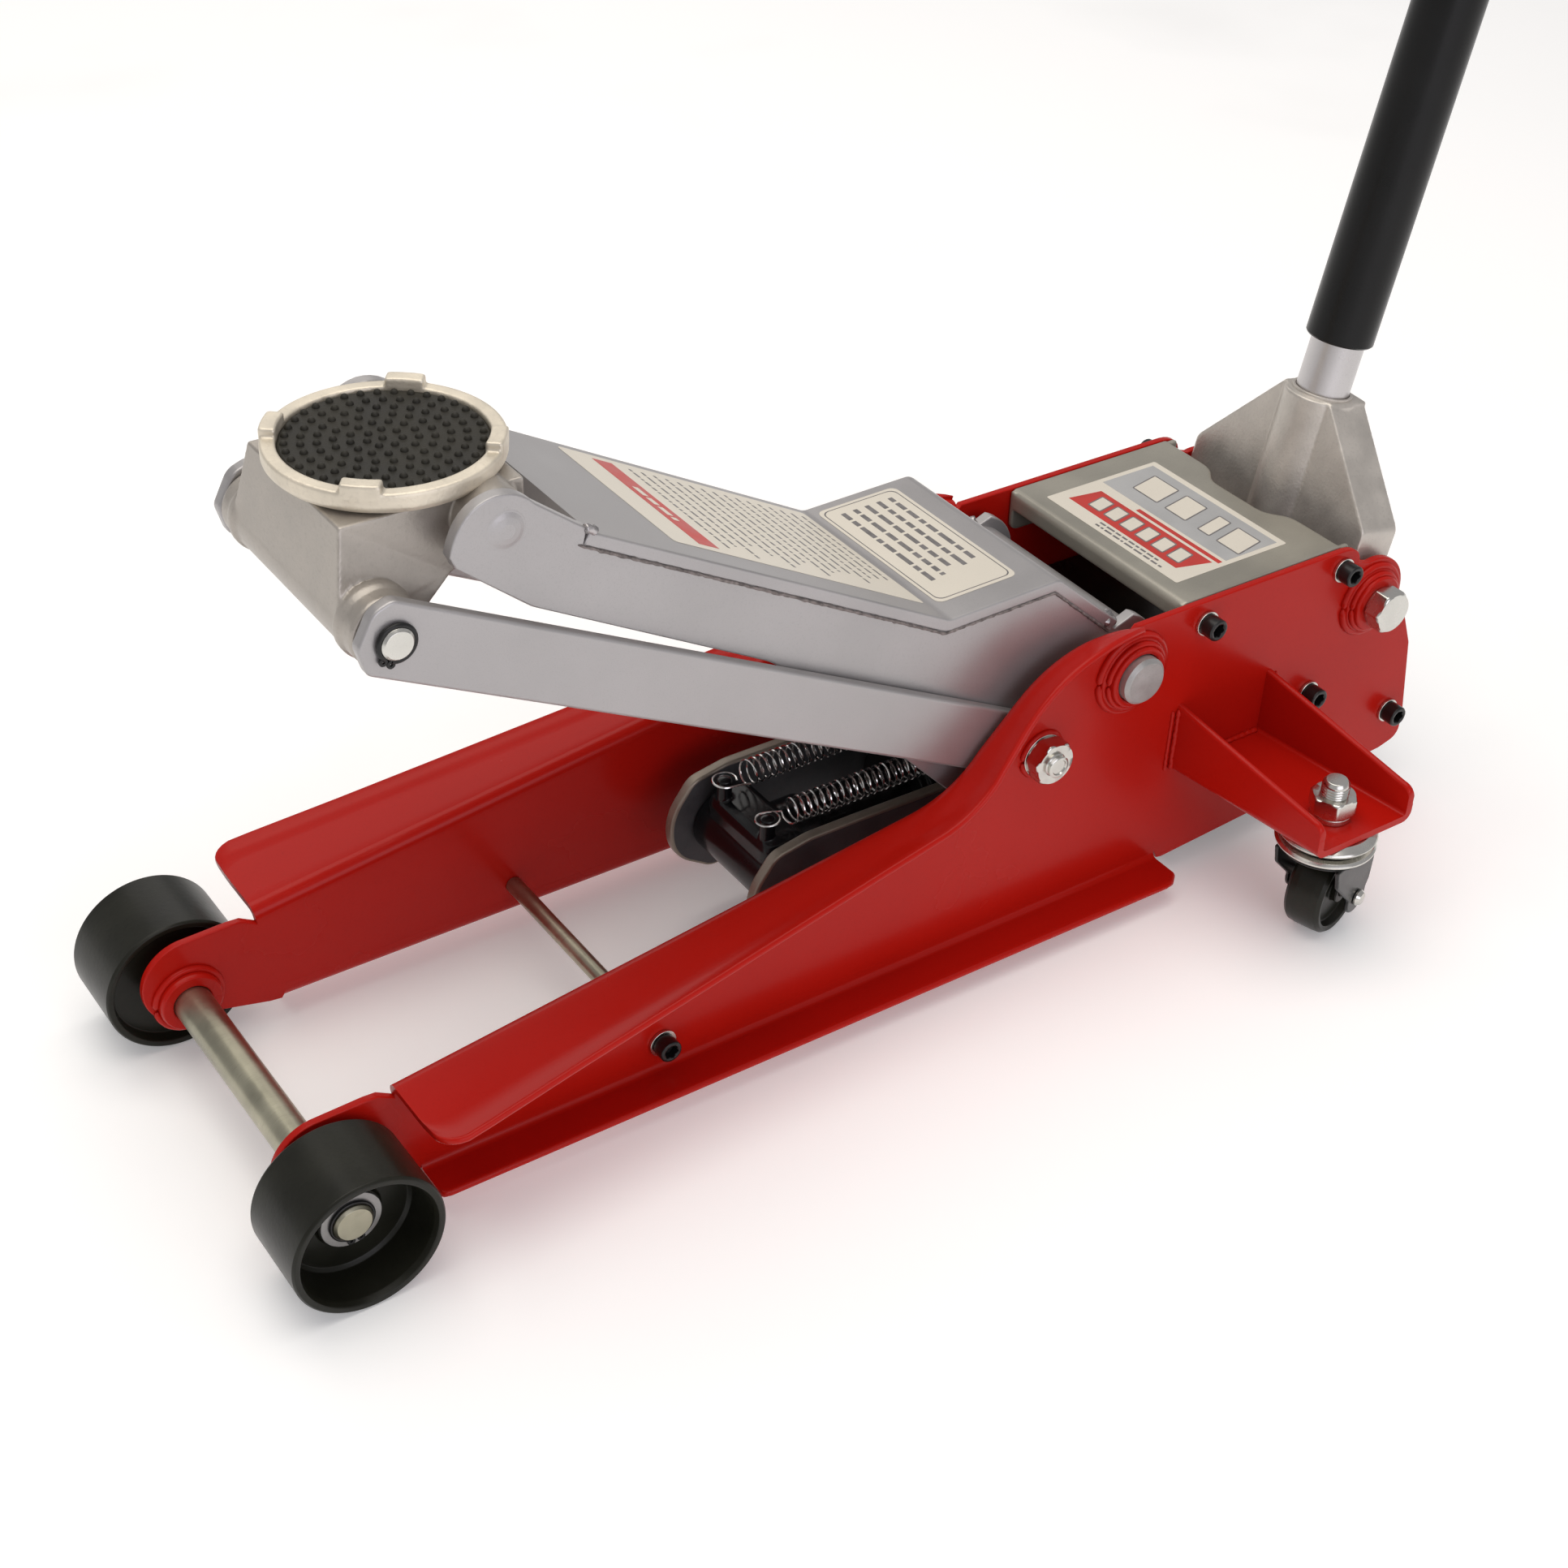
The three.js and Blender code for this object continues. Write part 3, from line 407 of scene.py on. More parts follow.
# ---------------------------------------------------------------- materials
def shader(name, color, rough, metal=0.0, coat=0.0, shade=0.8, light=1.12, mottle=60.0, fine=900.0,
           relief=0.3, depth=0.0003, spread=0.07, stretch=(1, 1, 1), wear_and_highlight=None, coat_rough=0.08,
           specular=0.5):
    """A surface with mottled colour, uneven gloss, a fine relief and, where asked, lighter edges that are
    partly wear and partly a painted highlight.
    """
    made = bpy.data.materials.new(name)
    made.use_nodes = True
    nodes, links = made.node_tree.nodes, made.node_tree.links
    surface = nodes["Principled BSDF"]
    surface.inputs["Metallic"].default_value = metal
    surface.inputs["Coat Weight"].default_value = coat
    surface.inputs["Specular IOR Level"].default_value = specular
    surface.inputs["Coat Roughness"].default_value = coat_rough
    coords = nodes.new("ShaderNodeTexCoord")
    grain = nodes.new("ShaderNodeMapping")
    grain.inputs["Scale"].default_value = stretch
    links.new(coords.outputs["Object"], grain.inputs["Vector"])

    def noise(scale, detail, source):
        found = nodes.new("ShaderNodeTexNoise")
        found.inputs["Scale"].default_value = scale
        found.inputs["Detail"].default_value = detail
        links.new(source, found.inputs["Vector"])
        return found.outputs["Fac"]

    def remap(value, low, high, to_low, to_high):
        step = nodes.new("ShaderNodeMapRange")
        for socket, number in zip(("From Min", "From Max", "To Min", "To Max"), (low, high, to_low, to_high)):
            step.inputs[socket].default_value = number
        links.new(value, step.inputs["Value"])
        return step.outputs["Result"]

    def blend(factor, first, second):
        mix = nodes.new("ShaderNodeMix")
        mix.data_type = "RGBA"
        links.new(factor, mix.inputs["Factor"])
        for socket, value in ((mix.inputs[6], first), (mix.inputs[7], second)):
            if isinstance(value, tuple):
                socket.default_value = (*value, 1)
            else:
                links.new(value, socket)
        return mix.outputs[2]

    broad = noise(mottle, 5, coords.outputs["Object"])
    close = noise(fine, 3, grain.outputs["Vector"])
    tone = blend(remap(broad, 0.35, 0.65, 0, 1), tuple(c * shade for c in color),
                 tuple(c * light for c in color))
    tone = blend(remap(close, 0.55, 0.75, 0, 0.35), tone, tuple(c * shade * 0.8 for c in color))
    # Edges found by pointiness take a lighter colour: partly wear, partly a painted highlight along the
    # edges.
    if wear_and_highlight:
        geometry = nodes.new("ShaderNodeNewGeometry")
        edge = remap(geometry.outputs["Pointiness"], 0.53, 0.60, 0, 1)
        patch = nodes.new("ShaderNodeMath")
        patch.operation = "MULTIPLY"
        links.new(edge, patch.inputs[0])
        links.new(remap(noise(160, 4, coords.outputs["Object"]), 0.45, 0.6, 0, 0.8), patch.inputs[1])
        tone = blend(patch.outputs[0], tone, wear_and_highlight)
    links.new(tone, surface.inputs["Base Color"])
    links.new(remap(broad, 0.3, 0.7, rough - spread, rough + spread), surface.inputs["Roughness"])
    bump = nodes.new("ShaderNodeBump")
    bump.inputs["Strength"].default_value = relief
    bump.inputs["Distance"].default_value = depth
    links.new(close, bump.inputs["Height"])
    links.new(bump.outputs["Normal"], surface.inputs["Normal"])
    return made


RED = shader("red_enamel", (0.43, 0.008, 0.004), 0.26, coat=0.05, shade=0.96, light=1.03, mottle=7,
             fine=600, relief=0.1, depth=0.0002, specular=0.14, spread=0.02)
ARM_SILVER = shader("silver_paint", (0.42, 0.405, 0.405), 0.38, metal=0.6, shade=0.93, light=1.05,
                    mottle=12, fine=1100, depth=0.0002)
# The lighter edge colours of these cast finishes are partly wear, partly a painted edge highlight.
CAST = shader("cast_silver", (0.58, 0.54, 0.49), 0.4, metal=0.6, shade=0.86, light=1.06, mottle=45,
              fine=520, relief=0.4, depth=0.0004, wear_and_highlight=(0.75, 0.72, 0.68))
# A darker copy of the cast silver: painted shade for the saddle head, which has the same cast finish.
HEAD_CAST_PAINTED_SHADE = shader("head_casting", (0.43, 0.395, 0.355), 0.38, metal=0.6, shade=0.88, light=1.05, mottle=45,
                   fine=520, relief=0.35, depth=0.0004, wear_and_highlight=(0.8, 0.77, 0.74))
TUBE_SILVER = shader("handle_tube_paint", (0.56, 0.54, 0.54), 0.32, metal=1.0, shade=0.94, light=1.04,
                     mottle=20, fine=1100, relief=0.25, depth=0.0002)
COVER = shader("cover_paint", (0.36, 0.34, 0.29), 0.36, metal=0.5, shade=0.9, light=1.08, mottle=20,
               relief=0.25, depth=0.0002)
BARE = shader("bare_steel", (0.40, 0.38, 0.29), 0.33, metal=0.95, shade=0.78, light=1.15, mottle=30,
              fine=500, relief=0.2, stretch=(0.3, 3.0, 0.3))
PIN_END = shader("painted_pin", (0.40, 0.39, 0.38), 0.42, metal=0.6)
WASHER_STEEL = shader("washer_steel", (0.36, 0.35, 0.34), 0.45, metal=0.7, relief=0.2)
ZINC = shader("zinc_plate", (0.64, 0.63, 0.59), 0.24, metal=1.0, shade=0.95, light=1.03, relief=0.04,
              depth=0.0001)
BLACK_STEEL = shader("black_steel", (0.012, 0.012, 0.012), 0.32, metal=0.3, coat=0.25, mottle=40, fine=600,
                     relief=0.2, coat_rough=0.2, specular=0.3)
GLOSS_BLACK = shader("gloss_black", (0.006, 0.006, 0.007), 0.24, coat=0.15, mottle=14, fine=200, relief=0.1,
                     specular=0.3)
PLASTIC = shader("black_plastic", (0.012, 0.012, 0.008), 0.34, coat=0.05, shade=0.7, light=1.3, mottle=22,
                 fine=350, relief=0.25, coat_rough=0.25, specular=0.22)
RUBBER = shader("black_rubber", (0.022, 0.020, 0.015), 0.6, shade=0.75, light=1.3, relief=0.4, specular=0.3)
SLEEVE = shader("black_sleeve", (0.007, 0.007, 0.007), 0.32, coat=0.05, light=1.25, mottle=12, fine=800,
                relief=0.12, coat_rough=0.2, specular=0.22)
# Its lighter edge colour is partly wear, partly a painted edge highlight.
SADDLE_CAST = shader("saddle_cast", (0.74, 0.67, 0.55), 0.42, metal=0.5, shade=0.86, light=1.06, mottle=45,
                     fine=420, relief=0.5, depth=0.0005, wear_and_highlight=(0.8, 0.76, 0.7))
LINK_STEEL = shader("link_paint", (0.34, 0.295, 0.24), 0.4, metal=0.55, light=1.1, mottle=30, fine=700)
# The dark sheets on the link plates' flat faces: painted shade.
LINK_PAINTED_SHADE = shader("link_face", (0.09, 0.09, 0.095), 0.4, metal=0.3, light=1.2, mottle=30, fine=700)
SPRING_WIRE = shader("spring_wire", (0.75, 0.74, 0.72), 0.2, metal=1.0, shade=0.9, light=1.05, relief=0.05)
WELD = shader("weld_metal", (0.42, 0.40, 0.40), 0.25, metal=0.8, shade=0.5, light=1.2, mottle=240)
SEAM = shader("weld_seam", (0.22, 0.19, 0.18), 0.5, metal=0.4, shade=0.5, light=1.25, mottle=300,
              relief=0.4)
LABEL = shader("label_cream", (0.70, 0.65, 0.56), 0.38, shade=0.95, light=1.03, mottle=8, fine=1500,
               relief=0.05)
LABEL_RED = shader("label_red", (0.52, 0.03, 0.02), 0.36, shade=0.9, light=1.05, fine=1500, relief=0.05)
LABEL_INK = shader("label_ink", (0.16, 0.15, 0.15), 0.4, light=1.2, mottle=200, fine=1500, relief=0.05)
LABEL_GREY = shader("label_grey", (0.40, 0.40, 0.40), 0.38, shade=0.93, light=1.04, mottle=30, fine=1500,
                    relief=0.05)


# ---------------------------------------------------------------- chassis
def top_at(x):
    """The height of a side plate's sloping upper edge."""
    return WEB_TOP - WEB_SLOPE * x


def shoulder_path():
    """The upper edge of a side plate as (x, z), from the flange's front end to the flat rear part."""
    front = [Vector((x, top_at(x))) for x in [NOSE_X + (-392 - NOSE_X) * k / 24 for k in range(25)]]
    rise = curve(front[-1], (-425, 141), (-443, 165), 9)
    climb = [rise[-1].lerp(Vector((-470, 192)), k / 3) for k in (1, 2, 3)]
    crest = curve(climb[-1], (-492, 214), (-522, 218), 9)
    return front + rise + climb + crest + curve(crest[-1], (-548, 220), (-562, REAR_TOP), 7)


FLANGE = [(-62, 153), (-129, 146), (-340, 127), (-400, 122), (-440, 118), (-465, 112), (-520, 108),
          (-550, 102), (-562, 98)]


def flange_width(x):
    """How far out the upper flange reaches; its front corner is rounded."""
    if x > FLANGE[0][0]:
        across = (FLANGE[0][0] - x) / (FLANGE[0][0] - NOSE_X)
        return FLANGE[0][1] - 15 + 15 * math.sqrt(max(0.0, 1 - across * across))
    for (x0, w0), (x1, w1) in zip(FLANGE, FLANGE[1:]):
        if x >= x1:
            return w0 + (w1 - w0) * (x - x0) / (x1 - x0)
    return FLANGE[-1][1]


def bend_section(width, lip):
    """Closed loop in (out, up): the web's edge, the bend and the flange with its slightly raised rim."""
    outer, thick, drop = 9.0, 5.0, 4.0
    inner, end = outer - thick, thick / 2
    centre = (WEB_INNER + outer, -outer)

    def raised(u):
        t = min(max((u - (width - 15)) / 15, 0.0), 1.0)
        return lip * t * t * (3 - 2 * t)

    loop = [Vector((WEB_INNER, -outer - drop))] + arc(centre, outer, 180, 90, 7)
    span = max(width - end - centre[0], 0.5)
    loop += [Vector((centre[0] + span * k / 9, raised(centre[0] + span * k / 9))) for k in range(1, 9)]
    loop += arc((width - end, raised(width) - end), end, 90, -90, 6)
    loop += [Vector((centre[0] + span * k / 9, raised(centre[0] + span * k / 9) - thick))
             for k in range(8, 0, -1)]
    loop += arc(centre, inner, 90, 180, 5) + [Vector((WEB_OUTER, -outer - drop))]
    return loop


def flange_strip(path, widths, up=1, lip=0.0):
    """A bent flange along a path in (x, z)."""
    loops = []
    for here, tangent, width in zip(path, tangents(path), widths):
        normal = Vector((tangent.y, -tangent.x)) * up
        section = bend_section(width, lip)
        loops.append([Vector((here.x + normal.x * p.y, p.x, here.y + normal.y * p.y)) for p in section])
    return loft(loops)


def top_flange():
    """The flange along the shoulder; its front corner is rounded off."""
    path = shoulder_path()
    corner = [Vector((x, top_at(x))) for x in (-46, -46.4, -47.5, -49.5, -52, -55.5, -60)]
    path = corner + path[2:]
    return flange_strip(path, [flange_width(p.x) for p in path], lip=2.4)


def bottom_flange():
    xs = [-60, -62, -66] + [-66 - 528 * k / 12 for k in range(1, 13)] + [-600, -606]
    widths = [112, 115, 116] + [116 + 4 * k / 12 for k in range(1, 13)] + [119, 114]
    return flange_strip([Vector((x, WEB_BOTTOM)) for x in xs], widths, up=-1)


def web_outline():
    """A side plate's flat web: a round nose at the axle, the shoulder and the tail behind the handle."""
    nose, radius = Vector((-2.0, 56.0)), 29.0
    front = [Vector((REAR_X + 2, 17)), Vector((REAR_X + 7, 26)), Vector((-64, 26)), Vector((-58, 17))]
    front += [Vector((-50, WEB_BOTTOM + 3))]
    front += arc(nose, radius, -105, 92, 26)
    front += [Vector((-30, 86.0)), Vector((-38, 85.5))]
    path = shoulder_path()
    lowered = [here - Vector((tangent.y, -tangent.x)) * 11 for here, tangent in zip(path, tangents(path))]
    rear = [Vector((-563, REAR_TOP)), Vector((-735, REAR_TOP))]
    rear += curve((-735, REAR_TOP), (-757, REAR_TOP + 1), (-757, 201), 8)
    ear = arc(HANDLE_PIVOT.xz, 30, 78, 214, 18)
    tail = fillet([(-812, 148), (-825, 117, 6), (-834, 60, 20), (-835, 36, 10), (-817, WEB_BOTTOM + 16, 12),
                   (REAR_X - 2, WEB_BOTTOM + 1)], 6, 5, closed=False)
    return front + lowered[:-1] + rear + ear + tail


def boss(centre, steps, bore):
    """A stepped round boss on the left side plate; steps are (radius, outer face)."""
    start = WEB_OUTER - 1
    profile = [(bore, start), (steps[0][0], start)]
    for radius, face in steps:
        if profile[-1][0] != radius:
            profile.append((radius, profile[-1][1]))
        profile.append((radius, face))
    profile.append((bore, profile[-1][1]))
    return turned(profile, (centre[0], 0, centre[1]), edge=1.6, closed=True)


def weld_ring(centre, y, radius, thick, seed):
    """A smooth weld bead around a boss."""
    path = [Vector((p.x, y, p.y)) for p in arc(centre, radius, 0, 360, 72)]
    return bead(path, thick, seed, 2.4, 0.03, 0.012)


def side_plate():
    """The left side plate with its flanges, axle stub, pivot bosses and weld beads."""
    axle, arm, handle, lever = AXLE.xz, ARM_PIVOT.xz, HANDLE_PIVOT.xz, ROD_PIVOT.xz
    web = slab(web_outline(), WEB_INNER + 0.03, WEB_OUTER - 0.03, 0.9, steps=3)
    stub = turned([(11.9, 78.5), (18.5, 78.5), (19.5, 81), (19.5, 87), (11.9, 87)], AXLE, edge=1.2,
                  closed=True)
    rings = ((axle, 85.2, 20.6, 2.4), (arm, 91.6, 26.5, 2.6), (arm, 95.6, 22, 2.0),
             (handle, 91.6, 24.5, 2.6), (handle, 95.5, 20.3, 2.0), (lever, 91.5, 15.2, 2.0))
    welds = [weld_ring(*row, seed) for seed, row in enumerate(rings, 1)]
    bosses = [boss(axle, [(17, 95.5)], 12), boss(arm, [(25.5, 94.5), (21, 99.8)], 16.4),
              boss(handle, [(23.5, 94.5), (19.6, 99.9)], 8.5), boss(lever, [(13, 92.6)], 8.5)]
    return merge(web, top_flange(), bottom_flange(), stub, *bosses, *welds)


pair("side_plate_weldment", side_plate(), RED, "red_paint", ["side_plate"])


def hexagon(across, turn):
    """The radius of a hexagon, as a function of the angle."""
    def radius(a):
        local = (a + turn + math.pi / 6) % (math.pi / 3) - math.pi / 6
        return across / 2 / math.cos(local)
    return radius


def chamfered_hexagon(across, limit, turn):
    """The same, with its corners cut back to a radius."""
    flat = hexagon(across, turn)
    return lambda a: min(flat(a), limit)


def hex_nut(across, low, high, bore, centre, axis="Y", turn=0.0):
    """A nut with its corners turned down at both ends."""
    half = across / 2
    rings = [(bore + 0.7, low)]
    for height, limit in ((low, half), (low + 0.9, half * 1.08), (low + 1.8, half * 1.16),
                          (high - 1.8, half * 1.16), (high - 0.9, half * 1.08), (high, half)):
        rings.append((chamfered_hexagon(across, limit, turn), height))
    rings += [(bore + 0.9, high), (bore, high - 0.9), (bore, low + 0.9)]
    return revolve(rings, centre, axis, 96, closed=True)


def hex_head(across, low, high, centre, turn):
    """A bolt head along Y with its corners turned down at the outer end."""
    half = across / 2
    rings = [(0, low), (hexagon(across, turn), low), (chamfered_hexagon(across, half * 1.16, turn),
                                                      high - 2.2), (chamfered_hexagon(across, half * 1.09,
                                                                                      turn), high - 1.1),
             (chamfered_hexagon(across, half, turn), high - 0.2), (half - 1.5, high), (0, high)]
    return revolve(rings, centre, sides=96)


def socket_head(x, z, base, radius, height, across, start=72.0):
    """A socket-head screw along Y with its hexagon recess, its shank reaching inward."""
    top = base + height
    rings = [(0, start), (radius * 0.6, start), (radius * 0.6, base), (radius - 0.4, base),
             (radius, base + 0.5), (radius, top - 1.0), (radius - 0.35, top - 0.4), (radius - 1.0, top),
             (across / 2 + 0.9, top), (hexagon(across, 0.3), top - 0.7),
             (hexagon(across, 0.3), top - height * 0.6), (0, top - height * 0.6 - 0.8)]
    return revolve(rings, (x, 0, z), "Y", 72)


def washer(x, z, inner, outer, faces):
    """A flat washer along Y between its two faces."""
    return turned(pipe(inner, outer, *faces), (x, 0, z), edge=0.4, closed=True)


for name, (x, z) in SCREWS.items():
    pair(f"{name}_bolt", socket_head(x, z, SCREW_SEAT, 7.4, 9.8, 8.0), BLACK_STEEL, "black_steel", [name])
    pair(f"{name}_washer", washer(x, z, 4.8, 8.6, WASHER_FACES), ZINC, "zinc_plate")
pair("tie_rod_screw_bolt", socket_head(*TIE_ROD, SCREW_SEAT, 7.2, 9.0, 8.0, 86.0), BLACK_STEEL, "black_steel",
     ["tie_rod_screw"])
pair("tie_rod_screw_washer", washer(*TIE_ROD, 3.6, 9.0, WASHER_FACES), ZINC, "zinc_plate")

axle_profile = [(0, -133), (10.2, -133), (11.75, -131.4), (11.75, 131.4), (10.2, 133), (0, 133)]
piece("front_axle_bar", turned(axle_profile, AXLE, edge=0.3), BARE, "chassis", "bare_steel", ["front_axle"])
piece("tie_rod_bar", turned(rod(5.5, -85.7, 85.7), (TIE_ROD[0], 0, TIE_ROD[1]), edge=0.4, sides=48), BARE,
      "chassis", "bare_steel", ["tie_rod"])


def circlip(centre, y, radius, gap_angle, wire=1.45):
    """An external retaining ring with two lugs at its gap."""
    start, end = gap_angle + 12, gap_angle + 348
    path = [Vector((p.x, y, p.y)) for p in arc(centre, radius, start, end, 60)]
    lugs = [turned(pipe(0.8, 2.4, y - 0.8, y + 0.8), (p.x, 0, p.y), sides=20, edge=0.3, closed=True)
            for p in arc(centre, radius + 1.6, start, end, 1)]
    return merge(tube(path, wire), *lugs)


pair("front_axle_circlip", circlip(AXLE.xz, 129.6, 12.6, 265, 1.1), BLACK_STEEL, "black_steel")
pair("front_axle_washer", washer(0, AXLE.z, 11.9, 18.0, (127.2, 128.7)), WASHER_STEEL, "bare_steel")

# ---------------------------------------------------------------- front wheels
wheel_profile = [(12.1, 96.4), (18, 96.4), (19, 105), (39, 106), (40.5, 98.6), (44, 98.4), (45, 100),
                 (45, 150.4), (43.8, 152), (40.6, 152), (39.2, 148), (37.6, 126), (35.5, 124), (19.5, 124),
                 (18.6, 126.9), (12.1, 126.9)]
pair("front_wheel_moulding", turned(wheel_profile, AXLE, edge=1.1, sides=144, closed=True), PLASTIC,
     "black_plastic", ["front_wheel"], body="front_wheel_{side}")

# ---------------------------------------------------------------- cover plate, power unit, ram cylinder
COVER_FRONT, COVER_REAR, COVER_TOP, COVER_HALF = -604.0, -742.0, 214.6, 85.3


def ribbon(path, thickness):
    """The outline of a bent sheet from the path of its upper face."""
    under = []
    for i, (here, tangent) in enumerate(zip(path, tangents(path))):
        turn = 1.0
        if 0 < i < len(path) - 1:
            a, b = (here - path[i - 1]).normalized(), (path[i + 1] - here).normalized()
            turn = 1 / max(math.sqrt((1 + a.dot(b)) / 2), 0.6)
        under.append(here + Vector((-tangent.y, tangent.x)) * thickness * turn)
    return path + under[::-1]


def cover_plate():
    """The cover behind the arm: a sheet with a notch for the socket, a front lip and two side tabs."""
    half, rear = COVER_HALF, COVER_REAR
    notch = curve((rear, 48), (rear, 38), (rear + 6, 32), 5)
    notch += curve((rear + 6, 32), (rear + 12, 26), (rear + 12, 18), 5)
    across = [Vector((p.x, -p.y)) for p in reversed(notch)]
    plan = [Vector((COVER_FRONT - 3, -half)), Vector((COVER_FRONT - 3, half)), Vector((rear, half)),
            Vector((rear, 48))] + notch + across + [Vector((rear, -48)), Vector((rear, -half))]
    sheet = slab(plan, COVER_TOP - 4, COVER_TOP, 0.8, plane="Z")
    lip_path = fillet([(COVER_FRONT - 20, COVER_TOP), (COVER_FRONT, COVER_TOP, 5),
                       (COVER_FRONT, COVER_TOP - 14)], 5, 8, closed=False)
    lip = slab(ribbon(lip_path, -4), -half, half, 0.8)
    side = fillet([(COVER_FRONT, COVER_TOP - 1), (COVER_FRONT, COVER_TOP - 30, 6),
                   (rear - 8, COVER_TOP - 30, 6), (rear - 8, COVER_TOP - 1)], 1, 5)
    tabs = [slab(side, low, high, 0.8) for low, high in ((-half, 4 - half), (half - 4, half))]
    return merge(sheet, lip, *tabs)


piece("cover_plate_sheet", cover_plate(), COVER, "chassis", "cover_paint", ["cover_plate"], voxel=1.0)

unit_outline = fillet([(-624, 28), (-624, 144, 9), (-743, 144, 5), (-743, 84, 3), (-829, 84, 5),
                       (-829, 38, 6), (-819, 28, 4)], 4, 6)
unit_plugs = [turned([(0, 84), (9, 84), (9, 88), (6, 88), (0, 88)], (-800, 50 * sign, 0), "Z", 48)
              for sign in (-1, 1)]
seat_profile = [(0, -744), (15, -744), (15, -745), (14, -745.8), (9.4, -745.8), (9.4, -742), (0, -742)]
unit_seats = [turned(seat_profile, (0, PUMP_Y * sign, PUMP_Z), "X", 64) for sign in (-1, 1)]
piece("power_unit_block", merge(slab(unit_outline, -85.6, 85.6, 1.6), *unit_plugs, *unit_seats), BLACK_STEEL,
      "chassis", "black_steel", ["power_unit_body"])
cylinder_profile = [(22.4, -663), (36, -663), (36, -502), (39, -500), (39, -461), (36.5, -460), (36, -455),
                    (22.4, -455)]
piece("ram_cylinder_tube", turned(cylinder_profile, (0, 0, RAM_CROSS.z), "X", 96, 1.2, closed=True),
      BLACK_STEEL, "chassis", "black_steel", ["ram_cylinder"])
piston_profile = [(0, -781), (6.5, -781), (9, -779.2), (9, -700), (0, -700)]
pair("pump_piston_rod", turned(piston_profile, (0, PUMP_Y, PUMP_Z), "X", 48), ZINC, "zinc_plate",
     ["pump_piston"], body="pump_piston_{side}")


def release_valve():
    stem = turned([(0, 62), (11, 62), (11, 87), (9.5, 89), (0, 89)], (-770, 0, 0), "Z", 64)
    prongs = [block(-776, -764, *sorted((sign * 9, sign * 2.8)), 88, 100, 1.0, 2.5) for sign in (-1, 1)]
    return merge(stem, *prongs)


piece("release_valve_stem", release_valve(), BARE, "release_valve", "bare_steel", ["release_valve"])

# ---------------------------------------------------------------- pivots on the chassis
piece("arm_pivot_pin", turned(pin(16, 106, 2.4), ARM_PIVOT, edge=0.6, sides=96), PIN_END, "chassis",
      "bare_steel", ["arm_pivot_shaft"])


def thread(radius, low, high, bite=0.9):
    """Profile points of a thread between two heights."""
    pitch, points = 2.0, []
    count = int((high - low) / pitch)
    for k in range(count):
        points += [(radius - bite, low + pitch * k), (radius, low + pitch * (k + 0.42)),
                   (radius, low + pitch * (k + 0.58))]
    return points + [(radius - bite, low + pitch * count)]


rod_bolt = [(0, 77), (9, 77), (9, 85.2), (8, 85.2)] + thread(7.9, 88, 107.5)
rod_bolt += [(7.4, 108.6), (6.6, 109.2), (5.4, 109.2), (4.8, 108.2), (0, 108.2)]
rod_nut = merge(hex_nut(27, 93.6, 105.4, 7.2, ROD_PIVOT, turn=0.35),
                washer(*ROD_PIVOT.xz, 8.4, 14.6, (92.2, 93.5)))
pair("rod_pivot_stud", revolve(rod_bolt, ROD_PIVOT), ZINC, "bare_steel", ["rod_pivot_bolt"])
pair("rod_pivot_hex", rod_nut, ZINC, "zinc_plate", ["rod_pivot_nut"])
handle_bolt = merge(turned(rod(8, 62, 101), HANDLE_PIVOT), hex_head(27, 102.4, 114, HANDLE_PIVOT, turn=0.5),
                    turned(rod(13.2, 99.9, 102.8), HANDLE_PIVOT, edge=0.6))
pair("handle_pivot_hex", handle_bolt, ZINC, "zinc_plate", ["handle_pivot_bolt"])

# ---------------------------------------------------------------- caster brackets, studs and casters
BRACKET_REAR, BRACKET_FRONT, BRACKET_LOW, BRACKET_END, SWEEP = -691.0, -608.0, 89.0, 213.0, 0.115


def bracket():
    """A bent channel whose two ribs fall away towards its outer end."""
    def section(y, height):
        low, thick = BRACKET_LOW, 5.0
        path = [(BRACKET_REAR + thick / 2, low + height), (BRACKET_REAR + thick / 2, low + thick / 2, 5),
                (BRACKET_FRONT - thick / 2, low + thick / 2, 5), (BRACKET_FRONT - thick / 2, low + height)]
        middle = fillet(path, 5, 5, closed=False)
        across = [Vector((-tangent.y, tangent.x)) * (thick / 2) for tangent in tangents(middle)]
        left = [here + step for here, step in zip(middle, across)]
        right = [here - step for here, step in zip(middle, across)]
        rear = arc(middle[0], thick / 2, 180, 0, 6)[1:-1]
        front = arc(middle[-1], thick / 2, 180, 0, 6)[1:-1]
        loop = right + front[::-1] + left[::-1] + rear[::-1]
        return [Vector((p.x - SWEEP * (y - WEB_OUTER), y, p.y)) for p in loop]

    stations = [(WEB_OUTER + 0.05, 49.5)] + [(WEB_OUTER + (205 - WEB_OUTER) * k / 10, 49.5 - 25.5 * k / 10)
                                             for k in range(1, 11)]
    stations += [(205 + 8 * math.sin(a), 16 + 8 * math.cos(a)) for a in [math.pi / 2 * k / 6
                                                                         for k in range(1, 6)]]
    stations += [(BRACKET_END - 0.3, 13.0), (BRACKET_END, 12.0)]
    return loft([section(y, height) for y, height in stations])


def bracket_welds():
    low, y, beads = BRACKET_LOW, WEB_OUTER + 1, []
    for number, (x, inward) in enumerate(((BRACKET_FRONT - 0.5, 4.5), (BRACKET_REAR + 0.5, -4.5))):
        up = [Vector((x, y, low + 2)), Vector((x, y, low + 49))]
        beads.append(bead(up, 2.0, 20 + number))
        beads.append(bead([p + Vector((inward, -0.6, 0)) for p in up], 1.3, 24 + number))
    floor_run = [Vector((BRACKET_FRONT - 4, y, low + 6)), Vector((BRACKET_REAR + 4, y, low + 6))]
    return merge(*beads, bead(floor_run, 1.8, 22))


